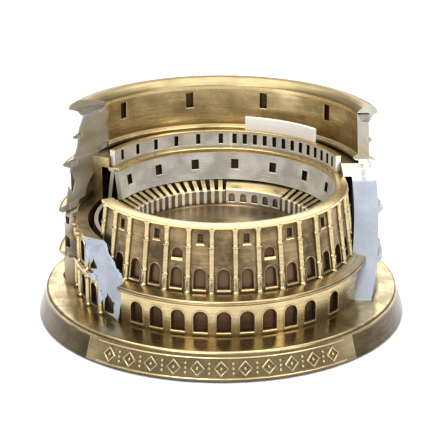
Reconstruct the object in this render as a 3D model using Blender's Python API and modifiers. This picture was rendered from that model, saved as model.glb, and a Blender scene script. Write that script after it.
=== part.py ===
"""Miniature ruined amphitheatre on a round plinth, a desk souvenir in antique bronze finish.

The model stands on the XY plane, with Z up and the plinth's axis on Z. Its front faces -Y.
The front and sides show a low ring of two storeys, a broken outer wall stands four storeys
high round the back, and the two ends of the outer wall run down in slopes.
Sizes are in metres. Angles are in degrees round the Z axis from +X, so that the front is at 270.
"""

import bmesh
import bpy
from math import cos, degrees, pi, radians, sin
from mathutils import Matrix, Vector

MM = 0.001

# --- fits -------------------------------------------------------------------------------------
FIT_GAP = 0.3 * MM            # clearance between pieces that seat on or in each other
MERGE_DISTANCE = 0.01 * MM
RING_STEPS = 48               # flats round a full turned ring
HOLE_SIDES = 12
FRONT_ANGLE = 270.0

# --- arena and the vaults round it ------------------------------------------------------------
ARENA_RADIUS = 24.9 * MM
FLOOR_THICKNESS = 1.0 * MM
VAULT_DEPTH = 6.4 * MM        # from the vaults' front to their back
VAULT_FRONT_RISE = 5.1 * MM   # above the underside of the vaults
VAULT_BACK_RISE = 7.2 * MM
VAULT_FRONT_WALL = 1.0 * MM
VAULT_BACK_WALL = 1.3 * MM
VAULT_PITCH = 5.0
POCKET_WIDTH = 1.2 * MM
POCKET_FLOOR = 1.2 * MM       # the bottom of the pockets above the underside of the vaults
PODIUM_START = 49.0
PODIUM_END = 87.0
PODIUM_ARCHES = 5
PODIUM_ARCH_PITCH = 6.8
PODIUM_ARCH_WIDTH = 1.5 * MM
PODIUM_ARCH_FOOT = 0.5 * MM   # above the arena floor
PODIUM_ARCH_TOP = 3.1 * MM
PODIUM_ARCH_DEPTH = 0.8 * MM

# --- drum that carries the arena and centres the rings ----------------------------------------
DRUM_HEIGHT = 11.3 * MM
DRUM_WALL = 2.0 * MM
DRUM_DECK = 2.4 * MM

# --- front ring: arcade, string course, facade, liner and coping ------------------------------
ARCADE_HEIGHT = 7.9 * MM
ARCADE_DEPTH = 6.0 * MM       # from the ring's inside to the arcade's face
STRING_COURSE_HEIGHT = 1.6 * MM
STRING_COURSE_OVERHANG = 1.5 * MM
FACADE_HEIGHT = 16.5 * MM
FACADE_FOOT_DEPTH = 3.3 * MM
FACADE_TOP_DEPTH = 1.0 * MM
REAR_DEPTH = 3.9 * MM         # the ring is trimmed to this behind the outer wall's ends
COPING_HEIGHT = 0.8 * MM
COPING_OVERHANG = 0.8 * MM
COPING_LIP = 0.2 * MM         # how far the coping stands out over the liner
COPING_BEVEL = 0.25 * MM
LINER_TOP_WALL = 1.0 * MM
LINER_FOOT_WALL = 2.1 * MM
LINER_WINDOW_WIDTH = 2.2 * MM
LINER_WINDOW_HEIGHT = 3.0 * MM
LINER_WINDOW_SILL = 2.6 * MM  # above the liner's foot
LINER_WINDOW_DEPTH = 0.6 * MM
LINER_WINDOWS = 14
LINER_WINDOW_PITCH = 21.5
LINER_FIRST_WINDOW = 147.2
BREACH_START = 157.0
BREACH_END = 203.0
BAY_PITCH = 10.0
FIRST_COLUMN_ANGLE = 206.0
COLUMN_COUNT = 17
COLUMN_RADIUS = 0.75 * MM
COLUMN_SIDES = 8
NICHE_DEPTH = 0.8 * MM
FACADE_ARCH_WIDTH = 3.1 * MM
FACADE_ARCH_FOOT = 1.0 * MM   # above the facade's foot
FACADE_ARCH_TOP = 6.6 * MM
FACADE_WINDOW_WIDTH = 1.9 * MM
FACADE_WINDOW_HEIGHT = 2.6 * MM
FACADE_WINDOW_DROP = 0.7 * MM  # below the facade's top
ARCADE_FIRST_BAY = 235.4      # the even run of arches in the front
ARCADE_BAY_PITCH = 8.9
ARCADE_BAYS = 9
ARCADE_LAST_BAY = 320.0       # the arch by itself on the right
ARCADE_ARCH_WIDTH = 4.1 * MM
ARCADE_ARCH_FOOT = 0.8 * MM   # above the arcade's foot
ARCADE_ARCH_TOP = 6.8 * MM

# --- gallery between the ring and the outer wall ----------------------------------------------
GALLERY_STEP_BACK = 0.7 * MM  # the gallery's face behind the facade's top
GALLERY_WALL = 1.3 * MM
GALLERY_HEIGHT = 4.3 * MM
GALLERY_MASS_DEPTH = 2.9 * MM
GALLERY_START = 15.5
GALLERY_END = 155.0
SLOT_WIDTH = 1.3 * MM
SLOT_FOOT = 0.4 * MM
SLOT_HEIGHT = 3.2 * MM
WIDE_SLOTS = 6
WIDE_SLOT_PITCH = 11.5
WIDE_SLOT_START = 147.7
CLOSE_SLOTS = 13
CLOSE_SLOT_PITCH = 5.23
CLOSE_SLOT_START = 20.5
SCREEN_START = 38.5
SCREEN_END = 78.0
SCREEN_HEIGHT = 3.9 * MM
SCREEN_THICKNESS = 0.9 * MM

# --- outer wall -------------------------------------------------------------------------------
OUTER_WALL = 3.0 * MM         # thickness of the lowest storey
UPPER_STEP_IN = 0.9 * MM      # the upper storeys are this much thicker on their inside
ATTIC_LIP = 1.2 * MM          # the attic's foot stands out inwards by this
STOREY_SETBACK = 0.3 * MM
CORNICE_PROJECTION = 1.6 * MM
CORNICE_HEIGHT = 1.3 * MM
STOREY_1_HEIGHT = 9.4 * MM
STOREY_3_HEIGHT = 9.9 * MM
STOREY_3_RISE = 3.3 * MM      # the third storey's top above the ring's top
GALLERY_FLOOR_DROP = 0.6 * MM  # below the third storey's top
ATTIC_HEIGHT = 12.3 * MM
ATTIC_BAND_RISE = 5.3 * MM    # above the attic's foot
CROWN_HEIGHT = 2.3 * MM
CROWN_PROJECTION = 2.4 * MM
OUTER_ARCH_WIDTH = 3.6 * MM
OUTER_ARCH_DEPTH = 1.1 * MM
OUTER_ARCH_MARGIN = 1.0 * MM  # above a storey's foot, and below its cornice
OUTER_FIRST_BAY = 11.0
OUTER_BAYS = 17
ATTIC_WINDOWS = 4
ATTIC_WINDOW_START = 40.0
ATTIC_WINDOW_PITCH = 31.8
ATTIC_WINDOW_WIDTH = 2.2 * MM
ATTIC_WINDOW_HEIGHT = 5.0 * MM

# --- ends of the outer wall -------------------------------------------------------------------
BUTTRESS_BACK = 4.8 * MM      # the buttress's flat back, along Y
BUTTRESS_FOOT = -14.9 * MM    # where its slope meets the plinth, along Y
BUTTRESS_DROP = 4.2 * MM      # its top below the third storey's top
RIGHT_END_TOP = 11.0 * MM     # where the outer wall's right end stands at its top, along Y
RIGHT_END_STEP = 9.2 * MM     # and at the third storey's top
LEFT_END_TOP = 15.6 * MM
LEFT_END_KNEE = 0.0 * MM
LEFT_END_SHELF = 1.6 * MM
LEFT_END_LOWER = -3.0 * MM
LEFT_END_FOOT = -5.0 * MM
LEFT_END_WAVES = 3
LEFT_END_WAVE = 0.5 * MM
RUIN_HEIGHT = 18.4 * MM
RUIN_TIP_ANGLE = 226.8
RUIN_FACE_HEADING = 237.0     # the direction that the broken face looks in
RUIN_FACE_TILT = 17.0         # how far it leans back from upright

# --- plinth, its front cover and the pad under it ---------------------------------------------
PLINTH_MARGIN = 3.8 * MM      # from the outer wall's cornices out to the plinth's top edge
PLINTH_FLARE = 2.0 * MM
PLINTH_HEIGHT = 7.6 * MM
PLINTH_LIFT = 0.4 * MM        # the metal edge stays this far above the table
PLINTH_EDGE_ROUND = 0.8 * MM
PLINTH_WALL = 5.4 * MM
PLINTH_DECK = 2.7 * MM
PAD_THICKNESS = 1.0 * MM
PAD_INSET = 3.0 * MM          # from the plinth's foot edge in to the pad's edge
COVER_THICKNESS = 1.0 * MM
COVER_HALF_ANGLE = 44.0
COVER_BEADS = 19
BEAD_RADIUS = 0.85 * MM
BEAD_SINK = 0.25 * MM         # how far a bead's middle lies below the plinth's side

# --- screws that hold the drum on the plinth --------------------------------------------------
SCREW_COUNT = 3
SCREW_CIRCLE = 20.0 * MM
SCREW_RADIUS = 1.2 * MM
SCREW_HEAD_RADIUS = 2.5 * MM
SCREW_HEAD_HEIGHT = 1.3 * MM
SCREW_LENGTH = 9.0 * MM
BOSS_RADIUS = 3.0 * MM

# --- radii that follow, from the arena outwards -----------------------------------------------
VAULT_INNER_RADIUS = ARENA_RADIUS + FIT_GAP
VAULT_OUTER_RADIUS = VAULT_INNER_RADIUS + VAULT_DEPTH
DRUM_RADIUS = VAULT_OUTER_RADIUS + FIT_GAP
LINER_TOP_RADIUS = DRUM_RADIUS - LINER_TOP_WALL
LINER_FOOT_RADIUS = DRUM_RADIUS - LINER_FOOT_WALL
RING_INNER_RADIUS = DRUM_RADIUS + FIT_GAP
ARCADE_RADIUS = RING_INNER_RADIUS + ARCADE_DEPTH
STRING_COURSE_RADIUS = ARCADE_RADIUS + STRING_COURSE_OVERHANG
FACADE_FOOT_RADIUS = RING_INNER_RADIUS + FACADE_FOOT_DEPTH
FACADE_TOP_RADIUS = RING_INNER_RADIUS + FACADE_TOP_DEPTH
REAR_RING_RADIUS = RING_INNER_RADIUS + REAR_DEPTH
GALLERY_RADIUS = FACADE_TOP_RADIUS + GALLERY_STEP_BACK
GALLERY_INNER_RADIUS = GALLERY_RADIUS - GALLERY_WALL
MASS_INNER_RADIUS = REAR_RING_RADIUS + FIT_GAP
LOWER_INNER_RADIUS = MASS_INNER_RADIUS + GALLERY_MASS_DEPTH + FIT_GAP
UPPER_INNER_RADIUS = LOWER_INNER_RADIUS - UPPER_STEP_IN
LIP_RADIUS = UPPER_INNER_RADIUS - ATTIC_LIP
OUTER_RADIUS = LOWER_INNER_RADIUS + OUTER_WALL
RUIN_OUTER_RADIUS = LOWER_INNER_RADIUS - FIT_GAP
PLINTH_TOP_RADIUS = OUTER_RADIUS + CORNICE_PROJECTION + PLINTH_MARGIN
PLINTH_FOOT_RADIUS = PLINTH_TOP_RADIUS + PLINTH_FLARE
BEYOND = PLINTH_FOOT_RADIUS * 1.1    # clear of the model on every side

# --- heights that follow, from the plinth upwards ---------------------------------------------
DECK_REST = PLINTH_HEIGHT + FIT_GAP
HOLLOW_TOP = PLINTH_HEIGHT - PLINTH_DECK
DRUM_TOP = DECK_REST + DRUM_HEIGHT
FLOOR_REST = DRUM_TOP + FIT_GAP
ARENA_HEIGHT = FLOOR_REST + FLOOR_THICKNESS
VAULT_FRONT_HEIGHT = FLOOR_REST + VAULT_FRONT_RISE
VAULT_BACK_HEIGHT = FLOOR_REST + VAULT_BACK_RISE
LINER_FOOT = VAULT_BACK_HEIGHT + FIT_GAP
ARCADE_TOP = DECK_REST + ARCADE_HEIGHT
STRING_COURSE_FOOT = ARCADE_TOP + FIT_GAP
FACADE_FOOT = STRING_COURSE_FOOT + STRING_COURSE_HEIGHT + FIT_GAP
FACADE_TOP = FACADE_FOOT + FACADE_HEIGHT
COPING_FOOT = FACADE_TOP + FIT_GAP
RING_TOP = COPING_FOOT + COPING_HEIGHT
GALLERY_FOOT = RING_TOP + FIT_GAP
GALLERY_TOP = GALLERY_FOOT + GALLERY_HEIGHT
SCREEN_FOOT = GALLERY_TOP + FIT_GAP
SCREEN_TOP = SCREEN_FOOT + SCREEN_HEIGHT
STOREY_1_TOP = DECK_REST + STOREY_1_HEIGHT
STOREY_3_TOP = RING_TOP + STOREY_3_RISE
STOREY_2_TOP = STOREY_3_TOP - STOREY_3_HEIGHT - FIT_GAP
GALLERY_FLOOR = STOREY_3_TOP - GALLERY_FLOOR_DROP
ATTIC_FOOT = STOREY_3_TOP + FIT_GAP
ATTIC_BAND = ATTIC_FOOT + ATTIC_BAND_RISE
ATTIC_TOP = ATTIC_FOOT + ATTIC_HEIGHT
CROWN_FOOT = ATTIC_TOP + FIT_GAP
TOTAL_HEIGHT = CROWN_FOOT + CROWN_HEIGHT
BUTTRESS_TOP = STOREY_3_TOP - BUTTRESS_DROP
RUIN_TOP = DECK_REST + RUIN_HEIGHT
ABOVE_ALL = TOTAL_HEIGHT * 1.1


def fresh_scene():
    """Empty the scene and return the collections for the parts and for the cutters."""
    for thing in list(bpy.data.objects):
        bpy.data.objects.remove(thing, do_unlink=True)
    parts = bpy.data.collections.new("miniature_amphitheatre")
    tools = bpy.data.collections.new("cutters")
    for collection in (parts, tools):
        bpy.context.scene.collection.children.link(collection)
    return parts, tools


PARTS, CUTTERS = fresh_scene()


def finish(name, colour, roughness, metallic):
    """A plain Principled material."""
    material = bpy.data.materials.new(name)
    material.use_nodes = True
    shader = material.node_tree.nodes["Principled BSDF"]
    shader.inputs["Base Color"].default_value = (*colour, 1.0)
    shader.inputs["Roughness"].default_value = roughness
    shader.inputs["Metallic"].default_value = metallic
    return material


BRONZE = {"colour": (0.42, 0.31, 0.15), "roughness": 0.34, "metallic": 1.0}
PALE = {"colour": (0.62, 0.53, 0.36), "roughness": 0.26, "metallic": 1.0}
DARK = {"colour": (0.20, 0.14, 0.07), "roughness": 0.45, "metallic": 1.0}
GOLD = {"colour": (0.62, 0.45, 0.19), "roughness": 0.28, "metallic": 1.0}


def place(name, mesh_maker, collection):
    """Write a bmesh to a new object in a collection."""
    mesh = bpy.data.meshes.new(name)
    mesh_maker.to_mesh(mesh)
    mesh_maker.free()
    thing = bpy.data.objects.new(name, mesh)
    collection.objects.link(thing)
    return thing


def part(name, mesh_maker, look):
    """A sub-part of the model, in its own material."""
    thing = place(name, mesh_maker, PARTS)
    thing.data.materials.append(finish(name + "_finish", **look))
    return thing


def tool(name, mesh_maker):
    """A cutter, which isn't part of the model."""
    thing = place(name, mesh_maker, CUTTERS)
    thing.hide_render = True
    thing.display_type = "WIRE"
    return thing


def combine(target, other, operation="DIFFERENCE"):
    """Cut a piece with a tool, or join the tool to it."""
    boolean = target.modifiers.new(other.name, "BOOLEAN")
    boolean.operation = operation
    boolean.solver = "EXACT"
    boolean.object = other


def shade_round(thing, crease=35.0):
    """Shade a round piece smooth between its real edges."""
    thing.data.shade_smooth()
    thing.data.set_sharp_from_angle(angle=radians(crease))
    return thing


def polar(radius, angle, height=0.0):
    """The point at a radius, an angle in degrees and a height."""
    return Vector((radius * cos(radians(angle)), radius * sin(radians(angle)), height))


def gap_angle(radius):
    """The angle in degrees that the fit gap takes at a radius."""
    return degrees(FIT_GAP / radius)


def turned(name, outline, look):
    """A full ring or disc: an outline of (radius, height), down its outer side, on a Screw."""
    shape = bmesh.new()
    points = [shape.verts.new((radius, 0.0, height)) for radius, height in outline]
    for first, second in zip(points, points[1:]):
        shape.edges.new((first, second))
    if outline[0][0] > 0.0:
        shape.edges.new((points[-1], points[0]))
    thing = part(name, shape, look)
    screw = thing.modifiers.new("Turn", "SCREW")
    screw.axis = "Z"
    screw.angle = 2.0 * pi
    screw.steps = RING_STEPS
    screw.render_steps = RING_STEPS
    screw.use_merge_vertices = True
    screw.merge_threshold = MERGE_DISTANCE
    screw.use_smooth_shade = True
    return thing


def sector(outline, start, end):
    """A bmesh of part of a ring: an outline of (radius, height) spun from start to end."""
    shape = bmesh.new()
    turn = Matrix.Rotation(radians(start), 3, "Z")
    points = [shape.verts.new(turn @ Vector((radius, 0.0, height))) for radius, height in outline]
    face = shape.faces.new(points)
    bmesh.ops.spin(
        shape,
        geom=[face],
        cent=(0.0, 0.0, 0.0),
        axis=(0.0, 0.0, 1.0),
        angle=radians(end - start),
        steps=max(2, round((end - start) * RING_STEPS / 360.0)),
        use_duplicate=False,
    )
    bmesh.ops.recalc_face_normals(shape, faces=shape.faces)
    return shape


def trim(shape, point, outward):
    """Cut away what lies outside a plane and close the cut."""
    geometry = list(shape.verts) + list(shape.edges) + list(shape.faces)
    bmesh.ops.bisect_plane(
        shape, geom=geometry, dist=MERGE_DISTANCE, plane_co=point, plane_no=outward, clear_outer=True
    )
    open_edges = [edge for edge in shape.edges if edge.is_boundary]
    bmesh.ops.edgeloop_fill(shape, edges=open_edges)
    bmesh.ops.recalc_face_normals(shape, faces=shape.faces)
    return shape


def prism(outline, depth):
    """A bmesh of an outline of (x, z) at y = 0, pushed along +Y to a depth."""
    shape = bmesh.new()
    face = shape.faces.new([shape.verts.new((x, 0.0, z)) for x, z in outline])
    pushed = bmesh.ops.extrude_face_region(shape, geom=[face])
    moved = [item for item in pushed["geom"] if isinstance(item, bmesh.types.BMVert)]
    bmesh.ops.translate(shape, verts=moved, vec=(0.0, depth, 0.0))
    bmesh.ops.recalc_face_normals(shape, faces=shape.faces)
    return shape


def add_copy(whole, single, matrix):
    """Add a moved copy of one bmesh to another."""
    mesh = bpy.data.meshes.new("copy")
    single.to_mesh(mesh)
    mesh.transform(matrix)
    whole.from_mesh(mesh)
    bpy.data.meshes.remove(mesh)


def round_the_axis(single, radius, angles):
    """A bmesh with a copy of a shape at each angle, its +Y turned away from the axis."""
    whole = bmesh.new()
    for angle in angles:
        turn = Matrix.Rotation(radians(angle - 90.0), 4, "Z")
        add_copy(whole, single, turn @ Matrix.Translation((0.0, radius, 0.0)))
    single.free()
    return whole


def series(first, pitch, count):
    """Evenly spaced angles."""
    return [first + pitch * index for index in range(count)]


def arc(radius, x, y, start, end, steps):
    """Points on an arc round (x, y), from one angle in degrees to another."""
    turns = [radians(start + (end - start) * step / steps) for step in range(steps + 1)]
    return [(x + radius * cos(turn), y + radius * sin(turn)) for turn in turns]


def arch_outline(width, foot, top, steps=4):
    """An upright with a half-round head, as (x, z) points."""
    half = width / 2.0
    return [(-half, foot), (half, foot)] + arc(half, 0.0, top - half, 0.0, 180.0, steps)


def box_outline(width, foot, top):
    """An upright rectangle, as (x, z) points."""
    return [(-width / 2.0, foot), (width / 2.0, foot), (width / 2.0, top), (-width / 2.0, top)]


def pocket_tool(name, outline, radius, depth, angles):
    """Cutters sunk to a depth into a face that looks away from the axis."""
    return tool(name, round_the_axis(prism(outline, depth * 4.0), radius - depth, angles))


def inner_pocket_tool(name, outline, radius, depth, angles):
    """Cutters sunk to a depth into a face that looks towards the axis."""
    return tool(name, round_the_axis(prism(outline, depth * 4.0), radius - depth * 3.0, angles))


def cylinder(radius, foot, top, x=0.0, y=0.0, sides=HOLE_SIDES):
    """A bmesh of an upright cylinder."""
    shape = bmesh.new()
    bmesh.ops.create_cone(
        shape,
        cap_ends=True,
        segments=sides,
        radius1=radius,
        radius2=radius,
        depth=top - foot,
        matrix=Matrix.Translation((x, y, (foot + top) / 2.0)),
    )
    return shape


# --- plinth -----------------------------------------------------------------------------------

def plinth_side(height):
    """The radius of the plinth's tapered side at a height."""
    share = (height - PLINTH_LIFT) / (PLINTH_HEIGHT - PLINTH_LIFT)
    return PLINTH_FOOT_RADIUS - PLINTH_FLARE * share


def plinth_edge(steps=3):
    """The plinth's rounded top edge and its side, from the deck down to the foot."""
    middle = PLINTH_TOP_RADIUS - PLINTH_EDGE_ROUND
    edge = arc(PLINTH_EDGE_ROUND, middle, PLINTH_HEIGHT - PLINTH_EDGE_ROUND, 90.0, 0.0, steps)
    return edge + [(PLINTH_FOOT_RADIUS, PLINTH_LIFT)]


def screw_places():
    """The middles of the screws, as (x, y)."""
    angles = series(FRONT_ANGLE, 360.0 / SCREW_COUNT, SCREW_COUNT)
    return [polar(SCREW_CIRCLE, angle).xy for angle in angles]


def screw_columns(radius, foot, top):
    """A bmesh with an upright cylinder at each screw."""
    whole = bmesh.new()
    for x, y in screw_places():
        single = cylinder(radius, foot, top, x, y)
        add_copy(whole, single, Matrix.Identity(4))
        single.free()
    return whole


def make_plinth():
    pad_edge = PLINTH_FOOT_RADIUS - PAD_INSET
    pad_seat = PAD_THICKNESS + FIT_GAP
    hollow_radius = PLINTH_FOOT_RADIUS - PLINTH_WALL
    outline = [(0.0, PLINTH_HEIGHT)]
    outline += plinth_edge()
    outline += [
        (pad_edge + FIT_GAP, PLINTH_LIFT),
        (pad_edge + FIT_GAP, pad_seat),
        (hollow_radius, pad_seat),
        (hollow_radius, HOLLOW_TOP),
        (0.0, HOLLOW_TOP),
    ]
    plinth = turned("plinth", outline, BRONZE)
    holes = screw_columns(SCREW_RADIUS + FIT_GAP, 0.0, ABOVE_ALL)
    combine(plinth, tool("screw_holes", holes))
    rebate_depth = COVER_THICKNESS + FIT_GAP
    rebate_floor = PLINTH_HEIGHT - rebate_depth
    rebate = sector(
        [
            (ARCADE_RADIUS, ABOVE_ALL),
            (BEYOND, ABOVE_ALL),
            (BEYOND, -PLINTH_LIFT),
            (PLINTH_FOOT_RADIUS - rebate_depth, -PLINTH_LIFT),
            (PLINTH_FOOT_RADIUS - rebate_depth, PLINTH_LIFT),
            (plinth_side(rebate_floor) - rebate_depth, rebate_floor),
            (ARCADE_RADIUS, rebate_floor),
        ],
        FRONT_ANGLE - COVER_HALF_ANGLE,
        FRONT_ANGLE + COVER_HALF_ANGLE,
    )
    combine(plinth, tool("front_rebate", rebate))


def make_front_cover():
    """The separate front of the plinth: a deck strip and a side strip, with a row of beads."""
    underside = PLINTH_HEIGHT - COVER_THICKNESS
    inner_edge = ARCADE_RADIUS + FIT_GAP
    outline = [(inner_edge, PLINTH_HEIGHT)]
    outline += plinth_edge()
    outline += [
        (PLINTH_FOOT_RADIUS - COVER_THICKNESS, PLINTH_LIFT),
        (plinth_side(underside) - COVER_THICKNESS, underside),
        (inner_edge, underside),
    ]
    half = COVER_HALF_ANGLE - gap_angle(ARCADE_RADIUS)
    cover = part("front_cover", sector(outline, FRONT_ANGLE - half, FRONT_ANGLE + half), BRONZE)
    middle = (PLINTH_HEIGHT + PLINTH_LIFT) / 2.0
    bead = bmesh.new()
    bmesh.ops.create_uvsphere(bead, u_segments=6, v_segments=4, radius=BEAD_RADIUS)
    bmesh.ops.translate(bead, verts=bead.verts, vec=(0.0, 0.0, middle))
    pitch = 2.0 * half / (COVER_BEADS + 1)
    angles = series(FRONT_ANGLE - half + pitch, pitch, COVER_BEADS)
    beads = round_the_axis(bead, plinth_side(middle) - BEAD_SINK, angles)
    combine(cover, tool("cover_beads", beads), "UNION")


def make_pad():
    """The soft pad let into the plinth's underside, on which the model stands."""
    disc = cylinder(PLINTH_FOOT_RADIUS - PAD_INSET, 0.0, PAD_THICKNESS, sides=RING_STEPS)
    shade_round(part("base_pad", disc, DARK))


def make_screws():
    """Pan-head screws, driven up through the plinth's deck into the drum's bosses."""
    head_top = HOLLOW_TOP - FIT_GAP
    head_foot = head_top - SCREW_HEAD_HEIGHT
    for index, (x, y) in enumerate(screw_places()):
        head = cylinder(SCREW_HEAD_RADIUS, head_foot, head_top, x, y)
        screw = part(f"fixing_screw_{index + 1}", head, PALE)
        shank = cylinder(SCREW_RADIUS, (head_foot + head_top) / 2.0, head_top + SCREW_LENGTH, x, y)
        combine(screw, tool(f"screw_shank_{index + 1}", shank), "UNION")


# --- drum, arena and vaults -------------------------------------------------------------------

def make_drum():
    """An upturned cup that carries the arena floor and centres the rings."""
    inside = DRUM_RADIUS - DRUM_WALL
    ceiling = DRUM_TOP - DRUM_DECK
    outline = [
        (0.0, DRUM_TOP),
        (DRUM_RADIUS, DRUM_TOP),
        (DRUM_RADIUS, DECK_REST),
        (inside, DECK_REST),
        (inside, ceiling),
        (0.0, ceiling),
    ]
    drum = turned("core_drum", outline, DARK)
    bosses = screw_columns(BOSS_RADIUS, DECK_REST, DRUM_TOP - DRUM_DECK / 2.0)
    combine(drum, tool("drum_bosses", bosses), "UNION")
    screw_tip = HOLLOW_TOP - FIT_GAP + SCREW_LENGTH
    pilots = screw_columns(SCREW_RADIUS + FIT_GAP, 0.0, screw_tip + FIT_GAP)
    combine(drum, tool("drum_pilots", pilots))


def make_arena_floor():
    disc = cylinder(ARENA_RADIUS, FLOOR_REST, ARENA_HEIGHT, sides=RING_STEPS)
    shade_round(part("arena_floor", disc, PALE))


def vault_outline():
    """The section through the vaults: a low front wall and a higher back one."""
    return [
        (VAULT_INNER_RADIUS, VAULT_FRONT_HEIGHT),
        (VAULT_INNER_RADIUS + VAULT_FRONT_WALL, VAULT_FRONT_HEIGHT),
        (VAULT_OUTER_RADIUS - VAULT_BACK_WALL, VAULT_BACK_HEIGHT),
        (VAULT_OUTER_RADIUS, VAULT_BACK_HEIGHT),
        (VAULT_OUTER_RADIUS, FLOOR_REST),
        (VAULT_INNER_RADIUS, FLOOR_REST),
    ]


def make_vault_ring():
    """A ring of radial walls with open pockets between them, left out where the podium stands."""
    start = PODIUM_END + gap_angle(VAULT_INNER_RADIUS)
    end = PODIUM_START + 360.0 - gap_angle(VAULT_INNER_RADIUS)
    ring = part("vault_ring", sector(vault_outline(), start, end), PALE)
    pocket_start = VAULT_INNER_RADIUS + VAULT_FRONT_WALL
    pocket_depth = VAULT_OUTER_RADIUS - VAULT_BACK_WALL - pocket_start
    pocket = prism(box_outline(POCKET_WIDTH, FLOOR_REST + POCKET_FLOOR, ABOVE_ALL), pocket_depth)
    count = int((end - start) / VAULT_PITCH)
    margin = (end - start - (count - 1) * VAULT_PITCH) / 2.0
    angles = series(start + margin, VAULT_PITCH, count)
    combine(ring, tool("vault_pockets", round_the_axis(pocket, pocket_start, angles)))


def make_podium():
    """The solid block in the row of vaults, with small blind arches towards the arena."""
    podium = part("podium_block", sector(vault_outline(), PODIUM_START, PODIUM_END), PALE)
    outline = arch_outline(PODIUM_ARCH_WIDTH, ARENA_HEIGHT + PODIUM_ARCH_FOOT, ARENA_HEIGHT + PODIUM_ARCH_TOP)
    middle = (PODIUM_START + PODIUM_END) / 2.0
    first = middle - PODIUM_ARCH_PITCH * (PODIUM_ARCHES - 1) / 2.0
    angles = series(first, PODIUM_ARCH_PITCH, PODIUM_ARCHES)
    arches = inner_pocket_tool("podium_arches", outline, VAULT_INNER_RADIUS, PODIUM_ARCH_DEPTH, angles)
    combine(podium, arches)


# --- front ring -------------------------------------------------------------------------------

def slope_normal():
    """The direction that the right buttress's slope faces."""
    rise = BUTTRESS_TOP - PLINTH_HEIGHT
    run = BUTTRESS_BACK - BUTTRESS_FOOT
    return Vector((0.0, -rise, run)).normalized()


def ruin_normal():
    """The direction that the broken left face looks in."""
    level = polar(1.0, RUIN_FACE_HEADING)
    tilt = radians(RUIN_FACE_TILT)
    return Vector((level.x * cos(tilt), level.y * cos(tilt), sin(tilt)))


def rear_space(start, end):
    """The room that the outer wall's lower end takes round the ring, over a stretch of angles."""
    outline = [(REAR_RING_RADIUS, ABOVE_ALL), (BEYOND, ABOVE_ALL), (BEYOND, 0.0), (REAR_RING_RADIUS, 0.0)]
    return sector(outline, start, end)


def ring_cutters():
    """Two tools that trim the arcade and the string course behind the outer wall's ends."""
    right = rear_space(-40.0, 90.0)
    slope_foot = Vector((0.0, BUTTRESS_FOOT, PLINTH_HEIGHT))
    trim(right, slope_foot + slope_normal() * FIT_GAP, slope_normal())
    left = rear_space(80.0, RUIN_TIP_ANGLE + gap_angle(REAR_RING_RADIUS) * 3.0)
    return tool("rear_space_right", right), tool("rear_space_left", left)


def make_arcade(rear):
    """The ring's lower storey, with an arched opening in each bay."""
    outline = [
        (RING_INNER_RADIUS, ARCADE_TOP),
        (ARCADE_RADIUS, ARCADE_TOP),
        (ARCADE_RADIUS, DECK_REST),
        (RING_INNER_RADIUS, DECK_REST),
    ]
    arcade = turned("ground_arcade", outline, BRONZE)
    for space in rear:
        combine(arcade, space)
    arch = arch_outline(ARCADE_ARCH_WIDTH, DECK_REST + ARCADE_ARCH_FOOT, DECK_REST + ARCADE_ARCH_TOP)
    angles = series(ARCADE_FIRST_BAY, ARCADE_BAY_PITCH, ARCADE_BAYS) + [ARCADE_LAST_BAY]
    combine(arcade, pocket_tool("arcade_arches", arch, ARCADE_RADIUS, NICHE_DEPTH, angles))


def make_string_course(rear, steps=4):
    """The half-round moulding on top of the arcade."""
    half = STRING_COURSE_HEIGHT / 2.0
    middle = STRING_COURSE_FOOT + half
    outline = [(RING_INNER_RADIUS, middle + half)]
    outline += arc(half, STRING_COURSE_RADIUS - half, middle, 90.0, -90.0, steps)
    outline.append((RING_INNER_RADIUS, middle - half))
    course = turned("string_course", outline, GOLD)
    for space in rear:
        combine(course, space)


def breach(foot):
    """The gap in the ring on its left, above a height."""
    inner = ARENA_RADIUS
    outline = [(inner, ABOVE_ALL), (BEYOND, ABOVE_ALL), (BEYOND, foot), (inner, foot)]
    return sector(outline, BREACH_START, BREACH_END)


def leaning_columns():
    """A bmesh of the facade's half columns, each leaning back with the facade's face."""
    column = bmesh.new()
    height = FACADE_HEIGHT - FIT_GAP * 2.0
    bmesh.ops.create_cone(
        column,
        cap_ends=True,
        segments=COLUMN_SIDES,
        radius1=COLUMN_RADIUS,
        radius2=COLUMN_RADIUS,
        depth=height,
    )
    lean = Matrix.Identity(4)
    lean[1][2] = -(FACADE_FOOT_DEPTH - FACADE_TOP_DEPTH) / FACADE_HEIGHT
    bmesh.ops.transform(column, matrix=lean, verts=column.verts)
    bmesh.ops.translate(column, verts=column.verts, vec=(0.0, 0.0, (FACADE_FOOT + FACADE_TOP) / 2.0))
    middle_radius = (FACADE_FOOT_RADIUS + FACADE_TOP_RADIUS) / 2.0
    return round_the_axis(column, middle_radius, series(FIRST_COLUMN_ANGLE, BAY_PITCH, COLUMN_COUNT))


def facade_radius(height):
    """The radius of the facade's leaning face at a height."""
    share = (height - FACADE_FOOT) / FACADE_HEIGHT
    return FACADE_FOOT_RADIUS + (FACADE_TOP_RADIUS - FACADE_FOOT_RADIUS) * share


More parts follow.
